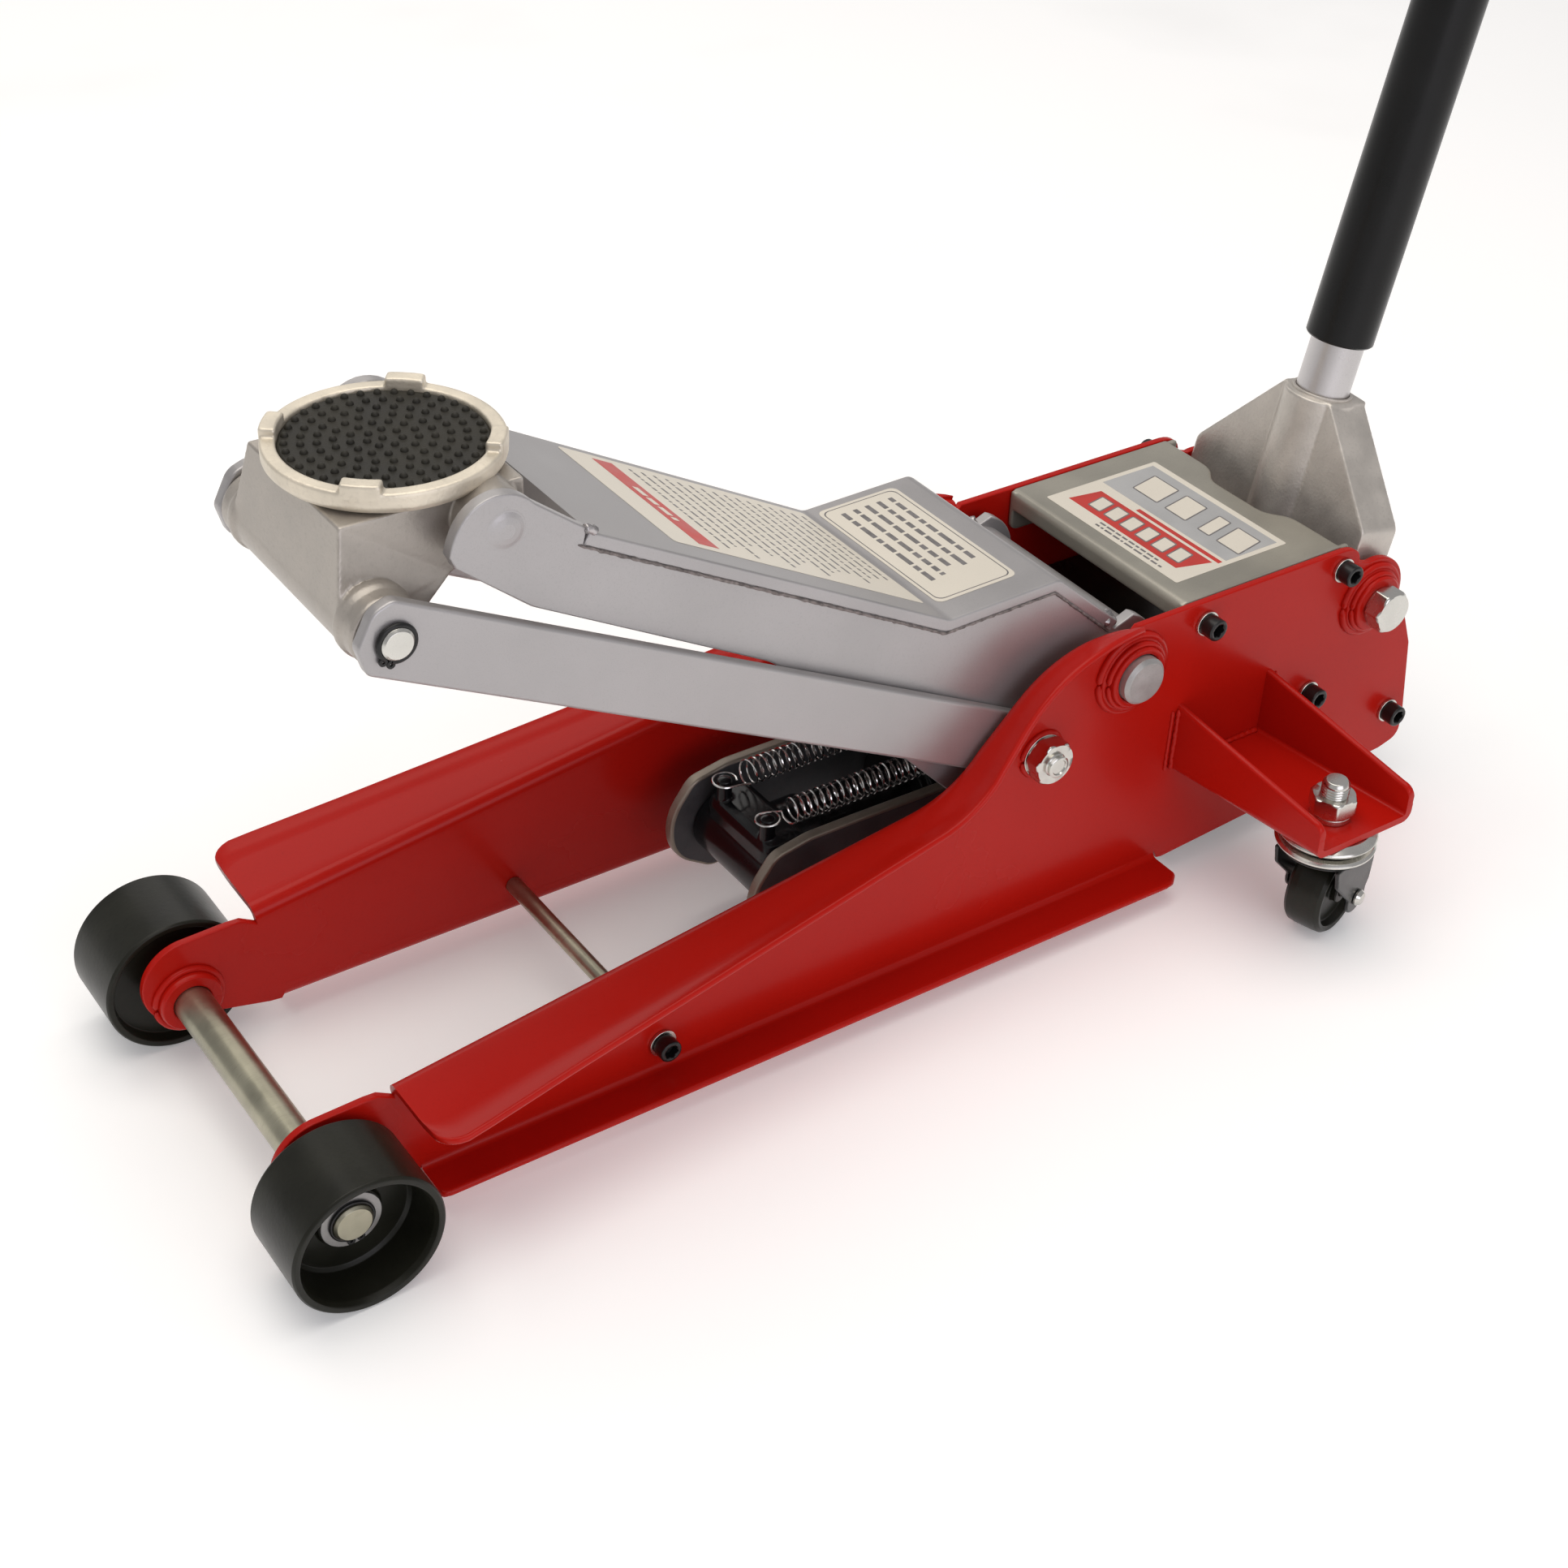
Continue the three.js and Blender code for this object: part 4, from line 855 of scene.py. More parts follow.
pair("caster_bracket_channel", merge(bracket(), bracket_welds()), RED, "red_paint", ["caster_bracket"])
caster_at = (CASTER_X, CASTER_Y, 0)
stud = [(0, 66.5), (6, 66.5), (6, 80), (8, 80), (8, 94)] + thread(9.0, 94, 119, bite=0.7)
stud += [(8.6, 119.5), (7.0, 121.6), (6.6, 122), (0, 121.8)]
race = [(6.3, 80), (26, 80), (31.6, 82.6), (32.5, 84.2), (31.6, 85.4), (27.5, 88.6), (6.3, 88.6)]
pair("caster_stud_screw", revolve(stud, caster_at, "Z"), ZINC, "zinc_plate", ["caster_stud"])
pair("caster_upper_race", turned(race, caster_at, "Z", 96, 0.8, closed=True), ZINC, "zinc_plate")
pair("caster_nut_hex", hex_nut(27, 98.6, 111.3, 7.2, caster_at, "Z", 0.6), ZINC, "zinc_plate", ["caster_nut"])
pair("caster_lock_washer", turned(pipe(8.4, 13.2, 94.1, 98.3), caster_at, "Z", edge=0.7, closed=True), ZINC,
     "zinc_plate")

TRAIL = Vector((CASTER_X - CASTER_AXLE.x, CASTER_Y - CASTER_AXLE.y, 0))
CASTER_FRAME = Matrix.Translation((CASTER_X, CASTER_Y, 0)) @ Matrix.Rotation(math.atan2(TRAIL.y, TRAIL.x),
                                                                             4, "Z")
TRAIL_LENGTH, CASTER_WHEEL_Z = TRAIL.length, CASTER_AXLE.z


def caster_fork():
    """A stamped fork: a round crown and two legs that narrow to the wheel's rivet."""
    tip = (-TRAIL_LENGTH, CASTER_WHEEL_Z)
    leg = fillet([(23, 71), (19, 56, 8), (tip[0] + 13, tip[1] + 4, 10)], 8, 5, closed=False)
    leg += arc(tip, 12, 10, -190, 16)
    leg += fillet([(tip[0] - 15, tip[1] + 8), (-30, 56, 10), (-26, 71)], 8, 5, closed=False)
    legs = [slab(leg, *sorted((side * 23.2, side * 20.4)), 0.8) for side in (-1, 1)]
    crown = turned([(6.5, 68.6), (24, 68.6), (27.5, 69.5), (29.5, 71.5), (25, 72.2), (6.5, 72.2)], axis="Z",
                   sides=64, closed=True)
    return merge(crown, *legs)


lower_race = [(6.4, 71.4), (24, 71.4), (29, 73.4), (32.3, 74.8), (32.5, 76.2), (31, 77.8), (27, 78.2),
              (6.4, 78.2)]
rivet = [(0, -28), (2.6, -28), (4.2, -26.4), (4.2, -23.4), (4, -23.4), (4, 23.4), (5.6, 23.4), (5.6, 25),
         (4.2, 27.4), (0, 28)]
half_tread = [(4.5, 13), (9, 13), (9, 8), (25, 7), (26.5, 12.4), (29.5, 13), (31.6, 10.5), (32, 6)]
caster_tread = [(radius, -y) for radius, y in half_tread] + half_tread[::-1]
wheel_at = (-TRAIL_LENGTH, 0, CASTER_WHEEL_Z)
pair("caster_fork_stamping", moved(caster_fork(), CASTER_FRAME), BLACK_STEEL, "black_steel", ["caster_fork"],
     body="caster_{side}", voxel=0.7)
pair("caster_lower_race", moved(turned(lower_race, axis="Z", sides=96, edge=0.7, closed=True),
                                CASTER_FRAME), ZINC, "zinc_plate", body="caster_{side}")
pair("caster_rivet", moved(turned(rivet, wheel_at, edge=0.4, sides=40), CASTER_FRAME), ZINC, "zinc_plate",
     body="caster_{side}")
pair("caster_tread", moved(turned(caster_tread, wheel_at, sides=96, edge=1.0, closed=True), CASTER_FRAME),
     PLASTIC, "black_plastic", ["caster_wheel"], body="caster_wheel_{side}")

# ---------------------------------------------------------------- lift arm
ARM_ROUTE = [SLOPE_TOP, SLOPE_FOOT, HUMP_REAR, ARM_REAR]


def offset_route(distance):
    """The upper edge of the arm moved inward by a distance."""
    return [here + Vector((-tangent.y, tangent.x)) * distance
            for here, tangent in zip(ARM_ROUTE, tangents(ARM_ROUTE))]


def arm_side():
    lowered = offset_route(ARM_PLATE - 0.5)
    shape = [Vector((-108, 387)), Vector((-105, 394))]
    shape += curve((-105, 394), (-111, 419), (-131, 421), 8)
    shape += curve((-131, 421), (-144, 421.5), (-153.5, 410.5), 6)
    shape += [Vector((-178, 391.5)), Vector((-182.5, 388.5)), lowered[0], *lowered[1:-1], Vector((-559, 206))]
    shape += arc(ARM_PIVOT.xz, 32, 112, 200, 12) + arc(LINK_REAR, 21.5, 162, 306, 18)
    shape += fillet([(-492, 88), (-300, 268, 60), (-150, 352, 30), (-108, 387)], 30, 8, closed=False)[1:-1]
    holes = [hole(ARM_PIVOT.xz, 16.3), hole(HEAD_PIVOT.xz, 9.2), hole(LINK_REAR, 10.2)]
    return slab(shape, ARM_INNER, ARM_OUTER, 1.1, holes)


def arm_top():
    path = fillet([(p.x, p.y, 10) for p in ARM_ROUTE], 10, 6, closed=False)
    return slab(ribbon(path, ARM_PLATE), -ARM_OUTER - 0.3, ARM_OUTER + 0.3, 1.3, steps=3)


arm_plate = arm_side()
arm_sleeve = turned(pipe(16.4, 25, -67.5, 67.5), ARM_PIVOT, closed=True)
arm_plug = turned([(0, 74.4), (12, 74.95), (10, 75.2), (7.5, 76.1), (4, 76.9), (0, 77.1)], HEAD_PIVOT,
                  edge=1.2)
link_pin = turned(rod(10, 39, 75.3), (LINK_REAR.x, 0, LINK_REAR.y), edge=1.0)
piece("lift_arm_weldment", merge(arm_plate, mirrored(arm_plate), arm_top(), arm_sleeve), ARM_SILVER, "arm",
      "arm_paint", ["lift_arm"])
piece("head_upper_pin_bar", turned(rod(9, -74.6, 74.6), HEAD_PIVOT), BARE, "arm", "bare_steel",
      ["head_upper_pin"])
pair("arm_pin_plug", arm_plug, ARM_SILVER, "arm_paint", body="arm")
pair("link_pin_bar", link_pin, BARE, "bare_steel", ["link_pin"], body="arm")


def arm_seam():
    route = [Vector((p.x, ARM_OUTER + 0.1, p.y)) for p in offset_route(ARM_PLATE + 0.8)]
    route[0] += Vector((3, 0, 2))
    return bead(route, 0.95, 31, 2.2, 0.45)


def arm_blobs():
    start = [Vector((-181 - k, ARM_OUTER - 1.2, 388.4 - 0.5 * k)) for k in range(0, 9, 2)]
    beads = [bead(start, 2.6, 33, 1.2, 0.5)]
    for k, (x, y, z, length, thick) in enumerate(((-549, 1.5, 213.5, 13, 3.2), (-552, 6, 214.5, 9, 3.0),
                                                  (-556, 2.5, 210, 8, 3.6), (-548, 11, 215, 6, 2.2))):
        end = [Vector((x - step, ARM_OUTER - y - 0.4 * step, z - 0.3 * step)) for step in range(0, length, 2)]
        beads.append(bead(end, thick, 34 + k, 1.4, 0.5))
    return merge(*beads)


pair("arm_weld_seam", arm_seam(), SEAM, "arm_paint", body="arm")
pair("arm_weld_blobs", arm_blobs(), WELD, "arm_paint", body="arm", voxel=0.6)

# ---------------------------------------------------------------- saddle head
HEAD_HALF, HEAD_TOP, HEAD_FRONT, HEAD_BACK = 52.0, 413.0, -58.5, -160.0
HEAD_BOSS, HEAD_FLARE = 19.6, 0.2


def head_casting():
    """The saddle head: a wedge with a round deck above and barrels for its two pins."""
    x, z = HEAD_PIN.xz
    outline = fillet([(HEAD_BACK, HEAD_TOP), (HEAD_BACK, 400, 6), (-150, 386, 8), (-118, 371, 14),
                      (-98, 356, 14), (x - 11, z - 19)], 2, 5, closed=False)
    outline += arc((x, z), HEAD_BOSS, -100, 4) + [Vector((HEAD_FRONT, HEAD_TOP))]
    body = slab(outline, -HEAD_HALF, HEAD_HALF, 1.0)
    for p in body[0]:  # the sides spread below the deck to meet the pin bosses
        drop = min(max((HEAD_TOP - 4 - p.z) / 36, 0), 1)
        ahead = min(max((p.x + 112) / 30, 0), 1)
        p.y *= 1 + HEAD_FLARE * drop * ahead
    upper = turned(pipe(9.4, 18.5, -66.6, 66.6), HEAD_PIVOT, edge=1.6, closed=True)
    lower = turned([(9.4, -76.0), (18.4, -76.0), (HEAD_BOSS, -74), (HEAD_BOSS, 74), (18.4, 76.0),
                    (9.4, 76.0)], HEAD_PIN, edge=1.2, closed=True)
    collars = [turned([(9.4, sign * 58), (21.2, sign * 58), (21.2, sign * 63), (HEAD_BOSS, sign * 66.5),
                       (9.4, sign * 66.5)], HEAD_PIN, edge=1.5, closed=True) for sign in (-1, 1)]
    deck = turned([(0, 406), (48, 406), (50, 408), (50, HEAD_TOP), (0, HEAD_TOP)], (SADDLE_X, 0, 0), "Z",
                  96, 1.0)
    return merge(body, upper, lower, deck, *collars)


# The head casting takes the darker copy of the cast silver, as painted shade.
piece("saddle_head_casting", head_casting(), HEAD_CAST_PAINTED_SHADE, "head", "cast_metal", ["saddle_head"], voxel=0.85)

SADDLE_RIM, SADDLE_INNER, SADDLE_TOP, SADDLE_FLOOR, LUG_TURN = 61.75, 53.5, 426.0, 419.3, 52.0
saddle_at = (SADDLE_X, 0, 0)
cup_profile = [(0, 391), (12, 391), (12, 413.4), (53, 413.4), (58.5, 414.2, 3), (SADDLE_RIM, 418, 3),
               (SADDLE_RIM, SADDLE_TOP, 1.6), (SADDLE_INNER, SADDLE_TOP, 1.4), (SADDLE_INNER, SADDLE_FLOOR),
               (0, SADDLE_FLOOR)]


def saddle_lug(angle):
    outline = []
    for radius, sign in ((SADDLE_RIM + 0.25, 1), (SADDLE_INNER - 0.4, -1)):
        half = sign * math.degrees(math.asin(10.2 / radius))
        outline += arc((0, 0), radius, angle - half, angle + half, 6)
    plan = [Vector((SADDLE_X + p.x, p.y)) for p in fillet([tuple(p) for p in outline], 1.2, 2)]
    return slab(plan, SADDLE_TOP - 4.5, SADDLE_TOP + 4.6, 1.2, plane="Z", steps=3)


lugs = [saddle_lug(LUG_TURN + 90 * k) for k in range(4)]
piece("saddle_cup_casting", merge(turned(cup_profile, saddle_at, "Z", 144, 0.8), *lugs), SADDLE_CAST,
      "saddle", "cast_metal", ["saddle_cup"], voxel=0.8)


def saddle_pad():
    """A rubber disc with rings of small domes."""
    disc = turned([(0, SADDLE_FLOOR + 0.3), (SADDLE_INNER - 0.3, SADDLE_FLOOR + 0.3),
                   (SADDLE_INNER - 0.3, SADDLE_TOP - 2.6), (SADDLE_INNER - 1.5, SADDLE_TOP - 1.6),
                   (0, SADDLE_TOP - 1.6)], saddle_at, "Z", 144, 0.4)
    domes = []
    for ring in range(7):
        radius = 1.0 + ring * 8.1
        count = max(1, round(2 * math.pi * radius / 8.6))
        for k in range(count):
            a = 2 * math.pi * (k + 0.5 * (ring % 2)) / count + ring * 0.37
            at = (SADDLE_X + radius * math.cos(a), radius * math.sin(a), SADDLE_TOP - 1.7)
            domes.append(revolve([(2.15, 0), (2.0, 0.9), (1.5, 1.7), (0.8, 2.15), (0, 2.3)], at, "Z", 16))
    return merge(disc, *domes)


piece("saddle_pad_rubber", saddle_pad(), RUBBER, "saddle", "black_rubber", ["saddle_pad"])

# ---------------------------------------------------------------- levelling rods
ROD_REACH = Vector((HEAD_PIN.x - ROD_PIVOT.x, HEAD_PIN.z - ROD_PIVOT.z))
ROD_FRAME = Matrix.Translation(ROD_PIVOT) @ Matrix.Rotation(-math.atan2(ROD_REACH.y, ROD_REACH.x), 4, "Y")
ROD_INNER, ROD_OUTER, ROD_HALF = 76.5, 84.5, 20.75


def radius_rod():
    along = ROD_REACH.length
    outline = arc((0, 0), ROD_HALF, 90, 270, 18)
    outline += fillet([(along - 20, -ROD_HALF), (along + 7, -ROD_HALF, 6),
                       (along + 18.3, -ROD_HALF + 12, 7), (along + 18.3, ROD_HALF - 9, 12),
                       (along + 10, ROD_HALF, 8), (along - 30, ROD_HALF)], 6, 6, closed=False)
    holes = [hole((0, 0), 9.2), hole((along, 0), 9.2)]
    return moved(slab(outline, ROD_INNER, ROD_OUTER, 1.7, holes, steps=3), ROD_FRAME)


pair("radius_rod_bar", radius_rod(), ARM_SILVER, "arm_paint", ["radius_rod"], body="rods")
piece("head_lower_pin_bar", turned(pin(9, 89, 1.4), HEAD_PIN, edge=0.5), ZINC, "rods", "zinc_plate",
      ["head_lower_pin"])
pair("head_pin_circlip", circlip(HEAD_PIN.xz, 86.2, 9.9, 303), BLACK_STEEL, "black_steel", body="rods")

# ---------------------------------------------------------------- ram, cross block, link plates, springs
CROSS_X, CROSS_Z = RAM_CROSS.x, RAM_CROSS.z
SPRING_POST = CROSS_X + 11
piece("ram_rod_bar", turned(rod(22, -562, -385.3), (0, 0, CROSS_Z), "X", 96), GLOSS_BLACK, "ram",
      "black_steel", ["ram_rod"])


def cross_block():
    """The block on the ram's end: a cross barrel, the rod's socket, and a bar with the spring posts."""
    barrel = turned(rod(23, -41.6, 41.6), RAM_CROSS, edge=1.5)
    socket = turned(rod(26, -385, CROSS_X), (0, 0, CROSS_Z), "X", 96, 2.0)
    bar = block(CROSS_X - 14, CROSS_X + 18, -36, 36, CROSS_Z, 101, 7.0, 8.0)
    post = [(0, 96), (5, 96), (5, 114.5), (0, 115.5)]
    posts = [turned(post, (SPRING_POST, sign * SPRING_Y, 0), "Z", 40, 1.2) for sign in (-1, 1)]
    return merge(barrel, socket, bar, *posts)


piece("cross_block_barrel", cross_block(), GLOSS_BLACK, "ram", "black_steel", ["cross_block"], voxel=0.9)
piece("cross_pin_bar", turned(pin(14, 52, 1), RAM_CROSS, edge=0.4), BLACK_STEEL, "ram", "black_steel")


def link_plate():
    """A link plate and, apart from it, dark sheets on its two flat faces: painted shade."""
    x, z = CROSS_X, CROSS_Z
    front = fillet([(x - 40, z + 40), (x - 4, z + 40, 30), (x + 22, z + 35, 14), (x + 40, z + 10, 40),
                    (x + 36, z - 20, 34), (x + 8, z - 37.5, 14), (x - 60, z - 36)], 20, 14, closed=False)
    outline = front + arc(LINK_REAR, 30, 270, 90, 24)
    holes = [hole((x, z), 14.3), hole(LINK_REAR, 19)]
    faces = [slab(inset(outline, 2.0), *ends, 0.05, [inset(loop, -1.0) for loop in holes], steps=1)
             for ends in ((41.93, 42.2), (49.8, 50.07))]
    return slab(outline, 42.0, 50.0, 1.8, holes, steps=3), merge(*faces)


link_core, link_painted_shade = link_plate()
pair("link_plate_bar", link_core, LINK_STEEL, "arm_paint", ["link_plate"], body="links")
# The dark sheets on the link plates' faces are painted shade.
pair("link_plate_painted_shade", link_painted_shade, LINK_PAINTED_SHADE, "arm_paint", body="links")

SPRING_FRONT, SPRING_REAR, SPRING_RADIUS, SPRING_PITCH, WIRE = -352.0, -612.0, 8.0, 5.0, 0.72


def return_spring():
    """A close wound coil: its front end hooks round a post and its rear end runs straight."""
    hook = arc((SPRING_POST, SPRING_Y), 7.6, 215, -85, 24)
    path = [Vector((p.x, p.y, SPRING_Z + 1.2 - 0.06 * k)) for k, p in enumerate(hook)]
    path.append(Vector((SPRING_POST - 5, SPRING_Y - 7.6, SPRING_Z - 1.0)))
    path.append(Vector((SPRING_FRONT + 4, SPRING_Y - 6.9, SPRING_Z - 2.5)))
    turns = (SPRING_FRONT - SPRING_REAR) / SPRING_PITCH
    steps = int(turns * 22)
    for k in range(steps + 1):
        a = 2 * math.pi * turns * k / steps - math.pi * 0.85
        x = SPRING_FRONT + (SPRING_REAR - SPRING_FRONT) * k / steps
        path.append(Vector((x, SPRING_Y + SPRING_RADIUS * math.cos(a),
                            SPRING_Z + SPRING_RADIUS * math.sin(a))))
    path.append(Vector((SPRING_REAR - 12, SPRING_Y, SPRING_Z)))
    return tube(path, WIRE, 6)


left_spring = return_spring()
for side, sign in SIDES:
    coil = left_spring if sign > 0 else mirrored(left_spring)
    made = piece(f"return_spring_coil_{side}", coil, SPRING_WIRE, None, "zinc_plate",
                 [f"return_spring_{side}"])
    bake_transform(made)

# ---------------------------------------------------------------- handle
LEAN = Vector(PIVOTS["handle_twist"]["axis"])
HANDLE_FRAME = Matrix.Translation(HANDLE_PIVOT) @ Matrix.Rotation(-math.atan2(-LEAN.x, LEAN.z), 4, "Y")
SOCKET_TOP, SOCKET_SHOULDER, SOCKET_HALF = 110.0, 44.0, 80.5
TUBE_BORE, TUBE_RADIUS, TUBE_START, TUBE_END = 15.4, 18, 26.3, 1150
SLEEVE_BORE, SLEEVE_START, SLEEVE_END, GRIP_START, GRIP_END = 18.3, 147, 640, 1010, 1160


def socket_casting():
    """The handle socket: a tube between two ribbed gussets that end in round hubs."""
    half, top = SOCKET_HALF, SOCKET_TOP
    right = [(22, top - 1, 3), (half, SOCKET_SHOULDER, 10), (half, -14, 8), (62, -22, 6)]
    face = right + [(-p[0], *p[1:]) for p in reversed(right)]
    gussets = slab(fillet(face, 2, 6), -19.5, 15.0, 1.0, plane="X")
    barrel = turned(rod(25, -20, top - 1), axis="Z", sides=96, edge=1.5)
    crown = slab(fillet([(-21, -23), (13, -23), (25, 0, 16), (13, 23), (-21, 23), (-24, 0, 12)], 3, 6),
                 top - 12, top, 1.2, plane="Z")
    hubs = turned(rod(23.5, -half, half), sides=96, edge=1.5)
    roller = turned(rod(9, -44, 44), (-24.4, 0, -31.7), sides=48)
    cheeks = [block(-31, -17, *sorted((sign * 42, sign * 50)), -38, -6, 1.5, 3) for sign in (-1, 1)]
    return merge(gussets, barrel, crown, hubs, roller, *cheeks)


piece("handle_socket_casting", moved(socket_casting(), HANDLE_FRAME), CAST, "socket", "cast_metal",
      ["handle_socket"], voxel=0.85)
mouth = turned(pipe(18.4, 20.6, SOCKET_TOP - 2, SOCKET_TOP + 1.4), axis="Z", sides=96, edge=0.5, closed=True)
tube_bar = turned(pipe(TUBE_BORE, TUBE_RADIUS, TUBE_START, TUBE_END), axis="Z", sides=96, edge=0.4,
                  closed=True)
sleeve_profile = [(SLEEVE_BORE, SLEEVE_START), (21.6, SLEEVE_START), (22.8, SLEEVE_START + 1.4),
                  (22.8, SLEEVE_END - 1.2), (21.8, SLEEVE_END), (SLEEVE_BORE, SLEEVE_END)]
sleeve = turned(sleeve_profile, axis="Z", sides=128, edge=0.6, closed=True)
grip_profile = [(SLEEVE_BORE, GRIP_START), (20.4, GRIP_START), (21.2, GRIP_START + 2), (21.2, GRIP_START + 8),
                (20.2, GRIP_START + 9.5)]
for k in range(12):
    z = GRIP_START + 14 + 10 * k
    grip_profile += [(20.2, z), (21, z + 1.5), (21, z + 5.5), (20.2, z + 7)]
grip_profile += [(20.6, GRIP_END - 12), (20.6, GRIP_END - 6), (17, GRIP_END), (0, GRIP_END),
                 (0, TUBE_END + 0.3), (SLEEVE_BORE, TUBE_END + 0.3)]
grip = turned(grip_profile, axis="Z", sides=96, edge=0.6)
piece("socket_mouth_ring", moved(mouth, HANDLE_FRAME), CAST, "socket", "cast_metal")
piece("handle_tube_bar", moved(tube_bar, HANDLE_FRAME), TUBE_SILVER, "handle", "arm_paint", ["handle_tube"])
piece("handle_sleeve_foam", moved(sleeve, HANDLE_FRAME), SLEEVE, "handle", "black_rubber", ["handle_sleeve"])
piece("handle_grip_rubber", moved(grip, HANDLE_FRAME), RUBBER, "handle", "black_rubber", ["handle_grip"])


# ---------------------------------------------------------------- labels: plain fields and blank line blocks
def label(outline, low, high, place):
    """A thin sheet that lies on a face, from low to high above it."""
    return moved(slab(outline, low, high, 0.06, plane="Z", steps=1), place)


def rounded(u0, u1, v0, v1, radius):
    return fillet([(u0, v0), (u1, v0), (u1, v1), (u0, v1)], radius, 4)


def corners(*points):
    """An outline with sharp corners."""
    return [Vector(point) for point in points]


def line_blocks(rows, v_end, height, place, seed, words, gap=2.2):
    """Blocks in place of small print; rows are (u, first v), words the shortest and longest block."""
    rng, blocks = random.Random(seed), []
    for u, v_start in rows:
        v = v_start
        stop = v_end - rng.uniform(0, 22)
        while v < stop:
            length = min(rng.uniform(*words), stop - v + 1.0)
            blocks.append(label(rounded(u, u + height, v, v + length, 0.35), 0.2, 0.3, place))
            v += length + gap
    return merge(*blocks)


def arm_face(start, end):
    """The frame of a flat of the arm's top, with its origin at the slope's foot."""
    along = (end - start).normalized()
    turn = Matrix.Rotation(-math.atan2(along.y, along.x), 4, "Y")
    return Matrix.Translation((SLOPE_FOOT.x, 0, SLOPE_FOOT.y)) @ turn


SLOPE_FRAME, HUMP_FRAME = arm_face(SLOPE_FOOT, SLOPE_TOP), arm_face(HUMP_REAR, SLOPE_FOOT)
COVER_FRAME = Matrix.Translation((0, 0, COVER_TOP))

slope_field = label(rounded(5, 203, -68, 56, 3), 0.02, 0.2, SLOPE_FRAME)
slope_bar = label(corners((166, -62), (181, -62), (181, 50), (166, 50)), 0.2, 0.3, SLOPE_FRAME)
slope_lines = line_blocks([(153 - 9.4 * k, -60) for k in range(16)], 50, 2.1, SLOPE_FRAME, 7, words=(2, 9),
                          gap=1.8)
title_frame = Matrix.Translation((0, 0, 0.12)) @ SLOPE_FRAME
slope_title = line_blocks([(171.5, -26)], 22, 4.4, title_frame, 8, words=(9, 12), gap=2.5)
piece("arm_label_field", slope_field, LABEL, "arm", "arm_paint")
piece("arm_label_bar", slope_bar, LABEL_RED, "arm", "arm_paint")
piece("arm_label_lines", slope_lines, LABEL_INK, "arm", "arm_paint")
piece("arm_label_title", slope_title, LABEL, "arm", "arm_paint")
hump_field = label(rounded(-65, -5, -68, 57, 5), 0.02, 0.25, HUMP_FRAME)
outer, inner = rounded(-62.5, -7, -65.5, 54.5, 5), rounded(-61.8, -7.7, -64.8, 53.8, 5)
hump_border = moved(slab(outer, 0.22, 0.32, 0.03, [inner], "Z", 1), HUMP_FRAME)
hump_lines = line_blocks([(-20 - 9.0 * k, -58) for k in range(5)], 46, 3.4, HUMP_FRAME, 9, words=(5, 16))
piece("arm_label_hump_field", hump_field, LABEL, "arm", "arm_paint")
piece("arm_label_hump_lines", merge(hump_border, hump_lines), LABEL_INK, "arm", "arm_paint")

cover_field = label(rounded(-714, -618, -65, 64, 1.5), 0.02, 0.2, COVER_FRAME)
cover_grey = label(corners((-709, -61), (-664, -61), (-664, 60), (-709, 60)), 0.2, 0.27, COVER_FRAME)
cover_band = label(corners((-655, -52), (-630, -56), (-630, 50), (-655, 57)), 0.2, 0.27, COVER_FRAME)
cover_rule = label(corners((-661, -20), (-657.5, -20), (-657.5, 60), (-661, 60)), 0.2, 0.27, COVER_FRAME)
cover_marks, mark_edges = [], []
marks = [(-701, -676, v, length, 5) for v, length in ((-50, 25), (-18, 21), (14, 12), (32, 22))]
marks += [(-651, -635, -46 + 15.5 * k, 12.5, 3) for k in range(6)]
for u0, u1, v, length, lean in marks:
    slant = fillet([(u0, v), (u1, v + lean), (u1, v + lean + length), (u0, v + length)], 1.5, 3)
    mark_edges.append(label(slant, 0.27, 0.32, COVER_FRAME))
    cover_marks.append(label(inset(slant, 1.1), 0.32, 0.37, COVER_FRAME))
cover_lines = line_blocks([(-627.5, -20), (-623.5, -20)], 46, 1.7, COVER_FRAME, 11, words=(2, 8), gap=1.4)
for name, part, material in (("field", cover_field, LABEL), ("grey", cover_grey, LABEL_GREY),
                             ("red", merge(cover_band, cover_rule), LABEL_RED),
                             ("marks", merge(*cover_marks), LABEL),
                             ("lines", merge(cover_lines, *mark_edges), LABEL_INK)):
    piece(f"cover_label_{name}", part, material, "chassis", "cover_paint")

# ---------------------------------------------------------------- floor, light and camera
floor_surface = shader("studio_floor", (0.95, 0.95, 0.95), 0.8, shade=0.99, light=1.0, mottle=0.8, fine=2,
                       relief=0.0, specular=0.1)
bpy.ops.mesh.primitive_plane_add(size=40, location=(0, 0, -0.0004))
floor = bpy.context.object
floor.name = "studio_floor"
floor.data.materials.append(floor_surface)
glow = floor_surface.node_tree.nodes["Principled BSDF"]
glow.inputs["Emission Color"].default_value = (1, 1, 1, 1)
glow.inputs["Emission Strength"].default_value = 0.18


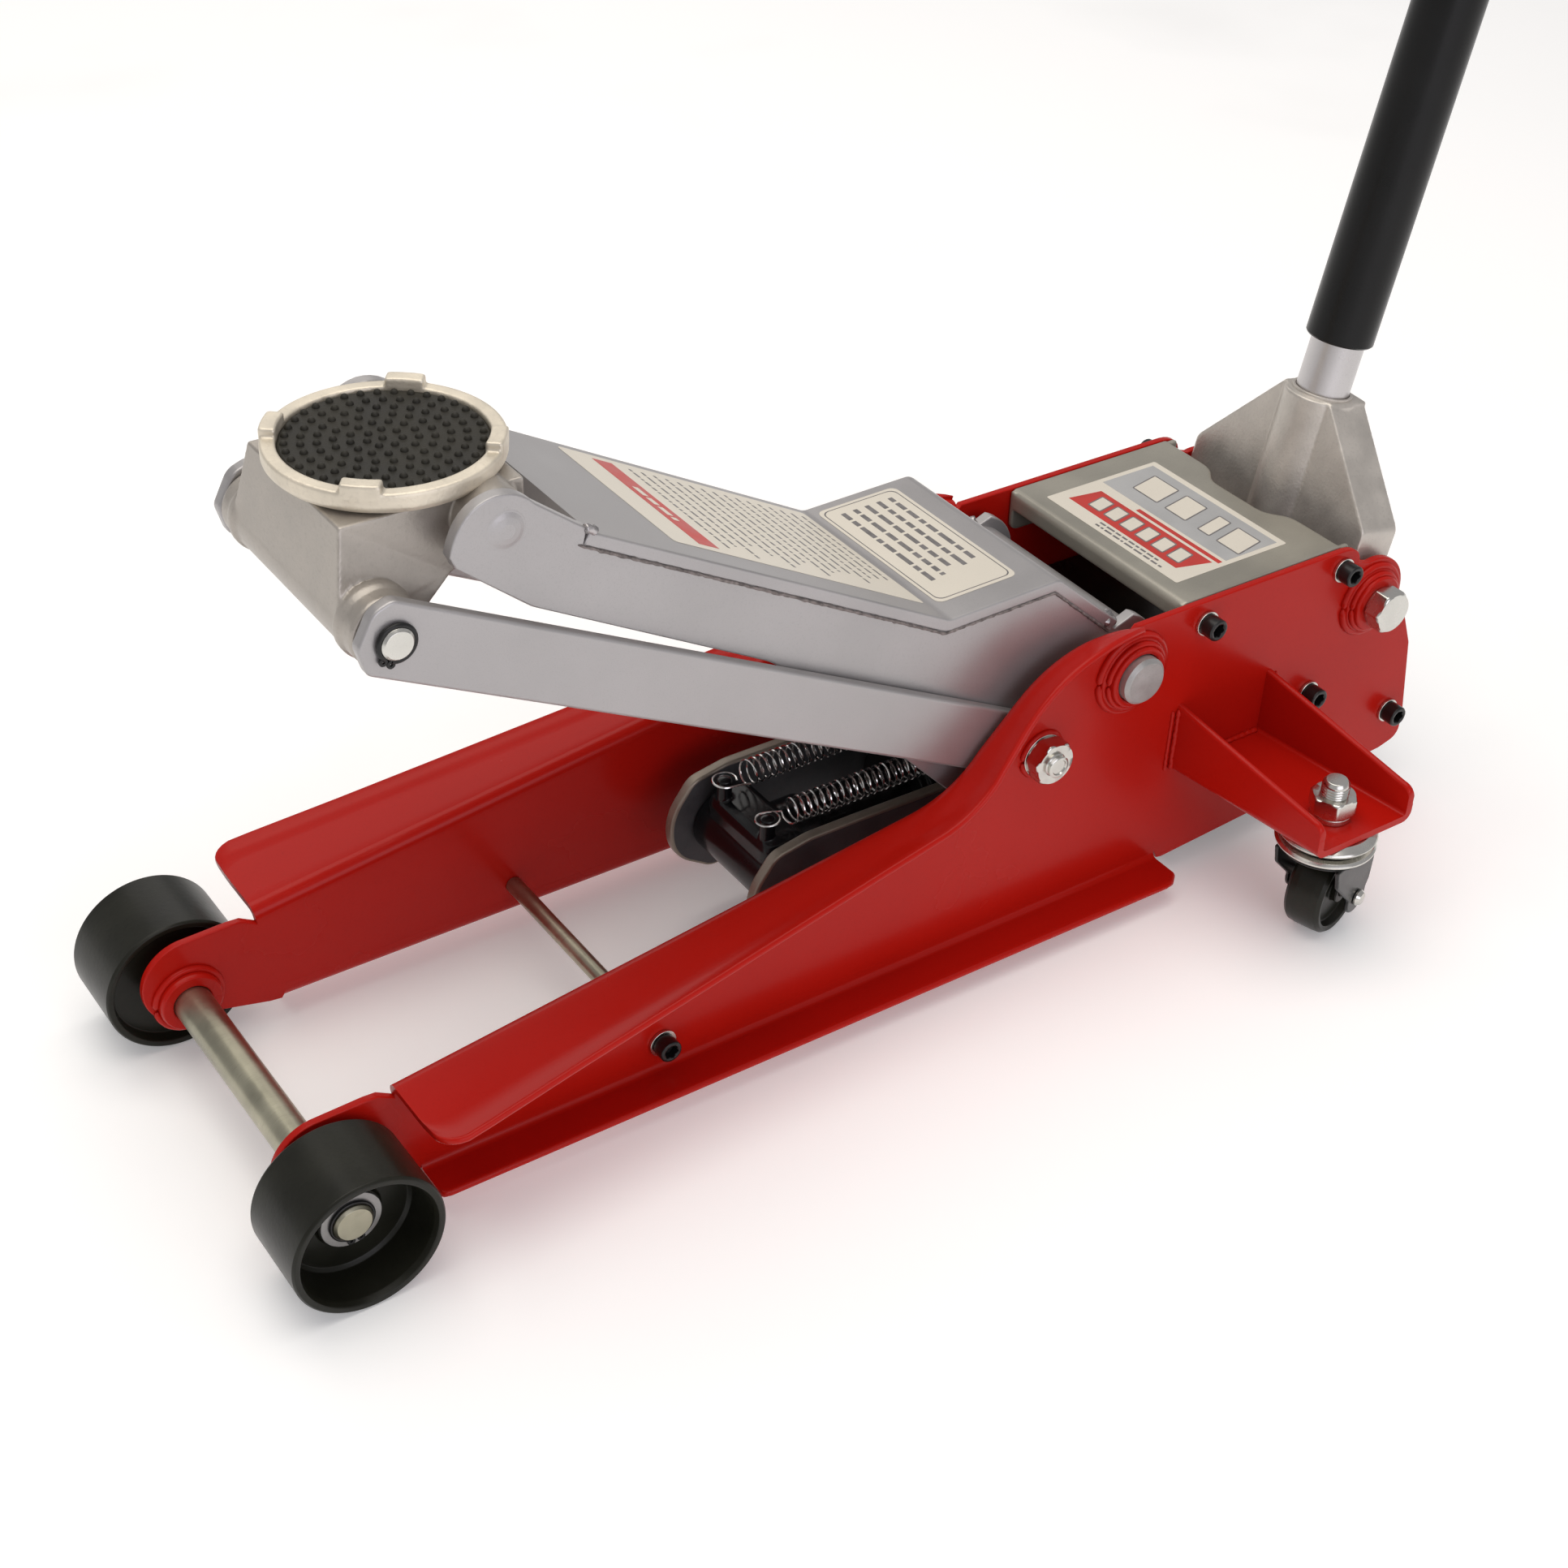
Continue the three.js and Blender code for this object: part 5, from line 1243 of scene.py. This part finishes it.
def softbox(name, place, target, width, height, power, tint):
    """A rectangular area light aimed at a target, in metres and watts."""
    data = bpy.data.lights.new(name, "AREA")
    data.shape = "RECTANGLE"
    data.size, data.size_y, data.energy, data.color = width, height, power, tint
    lamp = bpy.data.objects.new(name, data)
    lamp.location = place
    lamp.rotation_euler = (Vector(target) - Vector(place)).to_track_quat("-Z", "Y").to_euler()
    bpy.context.collection.objects.link(lamp)


softbox("top_light", (0.3, -0.2, 3.2), (0, 0, 0.2), 3.2, 3.2, 66, (1.0, 0.955, 0.88))
softbox("near_light", (0.4, 3.2, 1.3), (0, 0, 0.3), 2.6, 1.6, 27, (0.93, 0.91, 1.0))
softbox("front_light", (3.0, 0.3, 1.4), (0, 0, 0.3), 1.8, 1.6, 0.6, (1.0, 0.92, 0.78))
softbox("far_light", (-0.6, -3.0, 2.0), (0, 0, 0.3), 2.4, 1.4, 10, (1.0, 0.96, 0.90))

world = bpy.data.worlds.new("studio")
world.use_nodes = True
backdrop = world.node_tree.nodes["Background"]
backdrop.inputs["Color"].default_value = (0.99, 0.98, 1.0, 1)
backdrop.inputs["Strength"].default_value = 0.42
scene = bpy.context.scene
scene.world = world
scene.view_settings.view_transform = "Standard"

YAW, PITCH, ROLL = (math.radians(a) for a in (234.04, 35.75, 2.52))
CAMERA_PLACE, FOCAL_LENGTH, SENSOR = (0.85047, 0.99960, 1.00348), 56.06, 36.0
look = Vector((math.cos(YAW) * math.cos(PITCH), math.sin(YAW) * math.cos(PITCH), -math.sin(PITCH)))
level = Vector((math.sin(YAW), -math.cos(YAW), 0))
upright = level.cross(look)
right = level * math.cos(ROLL) + upright * math.sin(ROLL)
up = upright * math.cos(ROLL) - level * math.sin(ROLL)
lens = bpy.data.cameras.new("photo_camera")
lens.lens, lens.sensor_width, lens.clip_end = FOCAL_LENGTH, SENSOR, 100
camera = bpy.data.objects.new("photo_camera", lens)
camera.matrix_world = Matrix((right, up, -look)).transposed().to_4x4()
camera.location = CAMERA_PLACE
bpy.context.collection.objects.link(camera)
scene.camera = camera
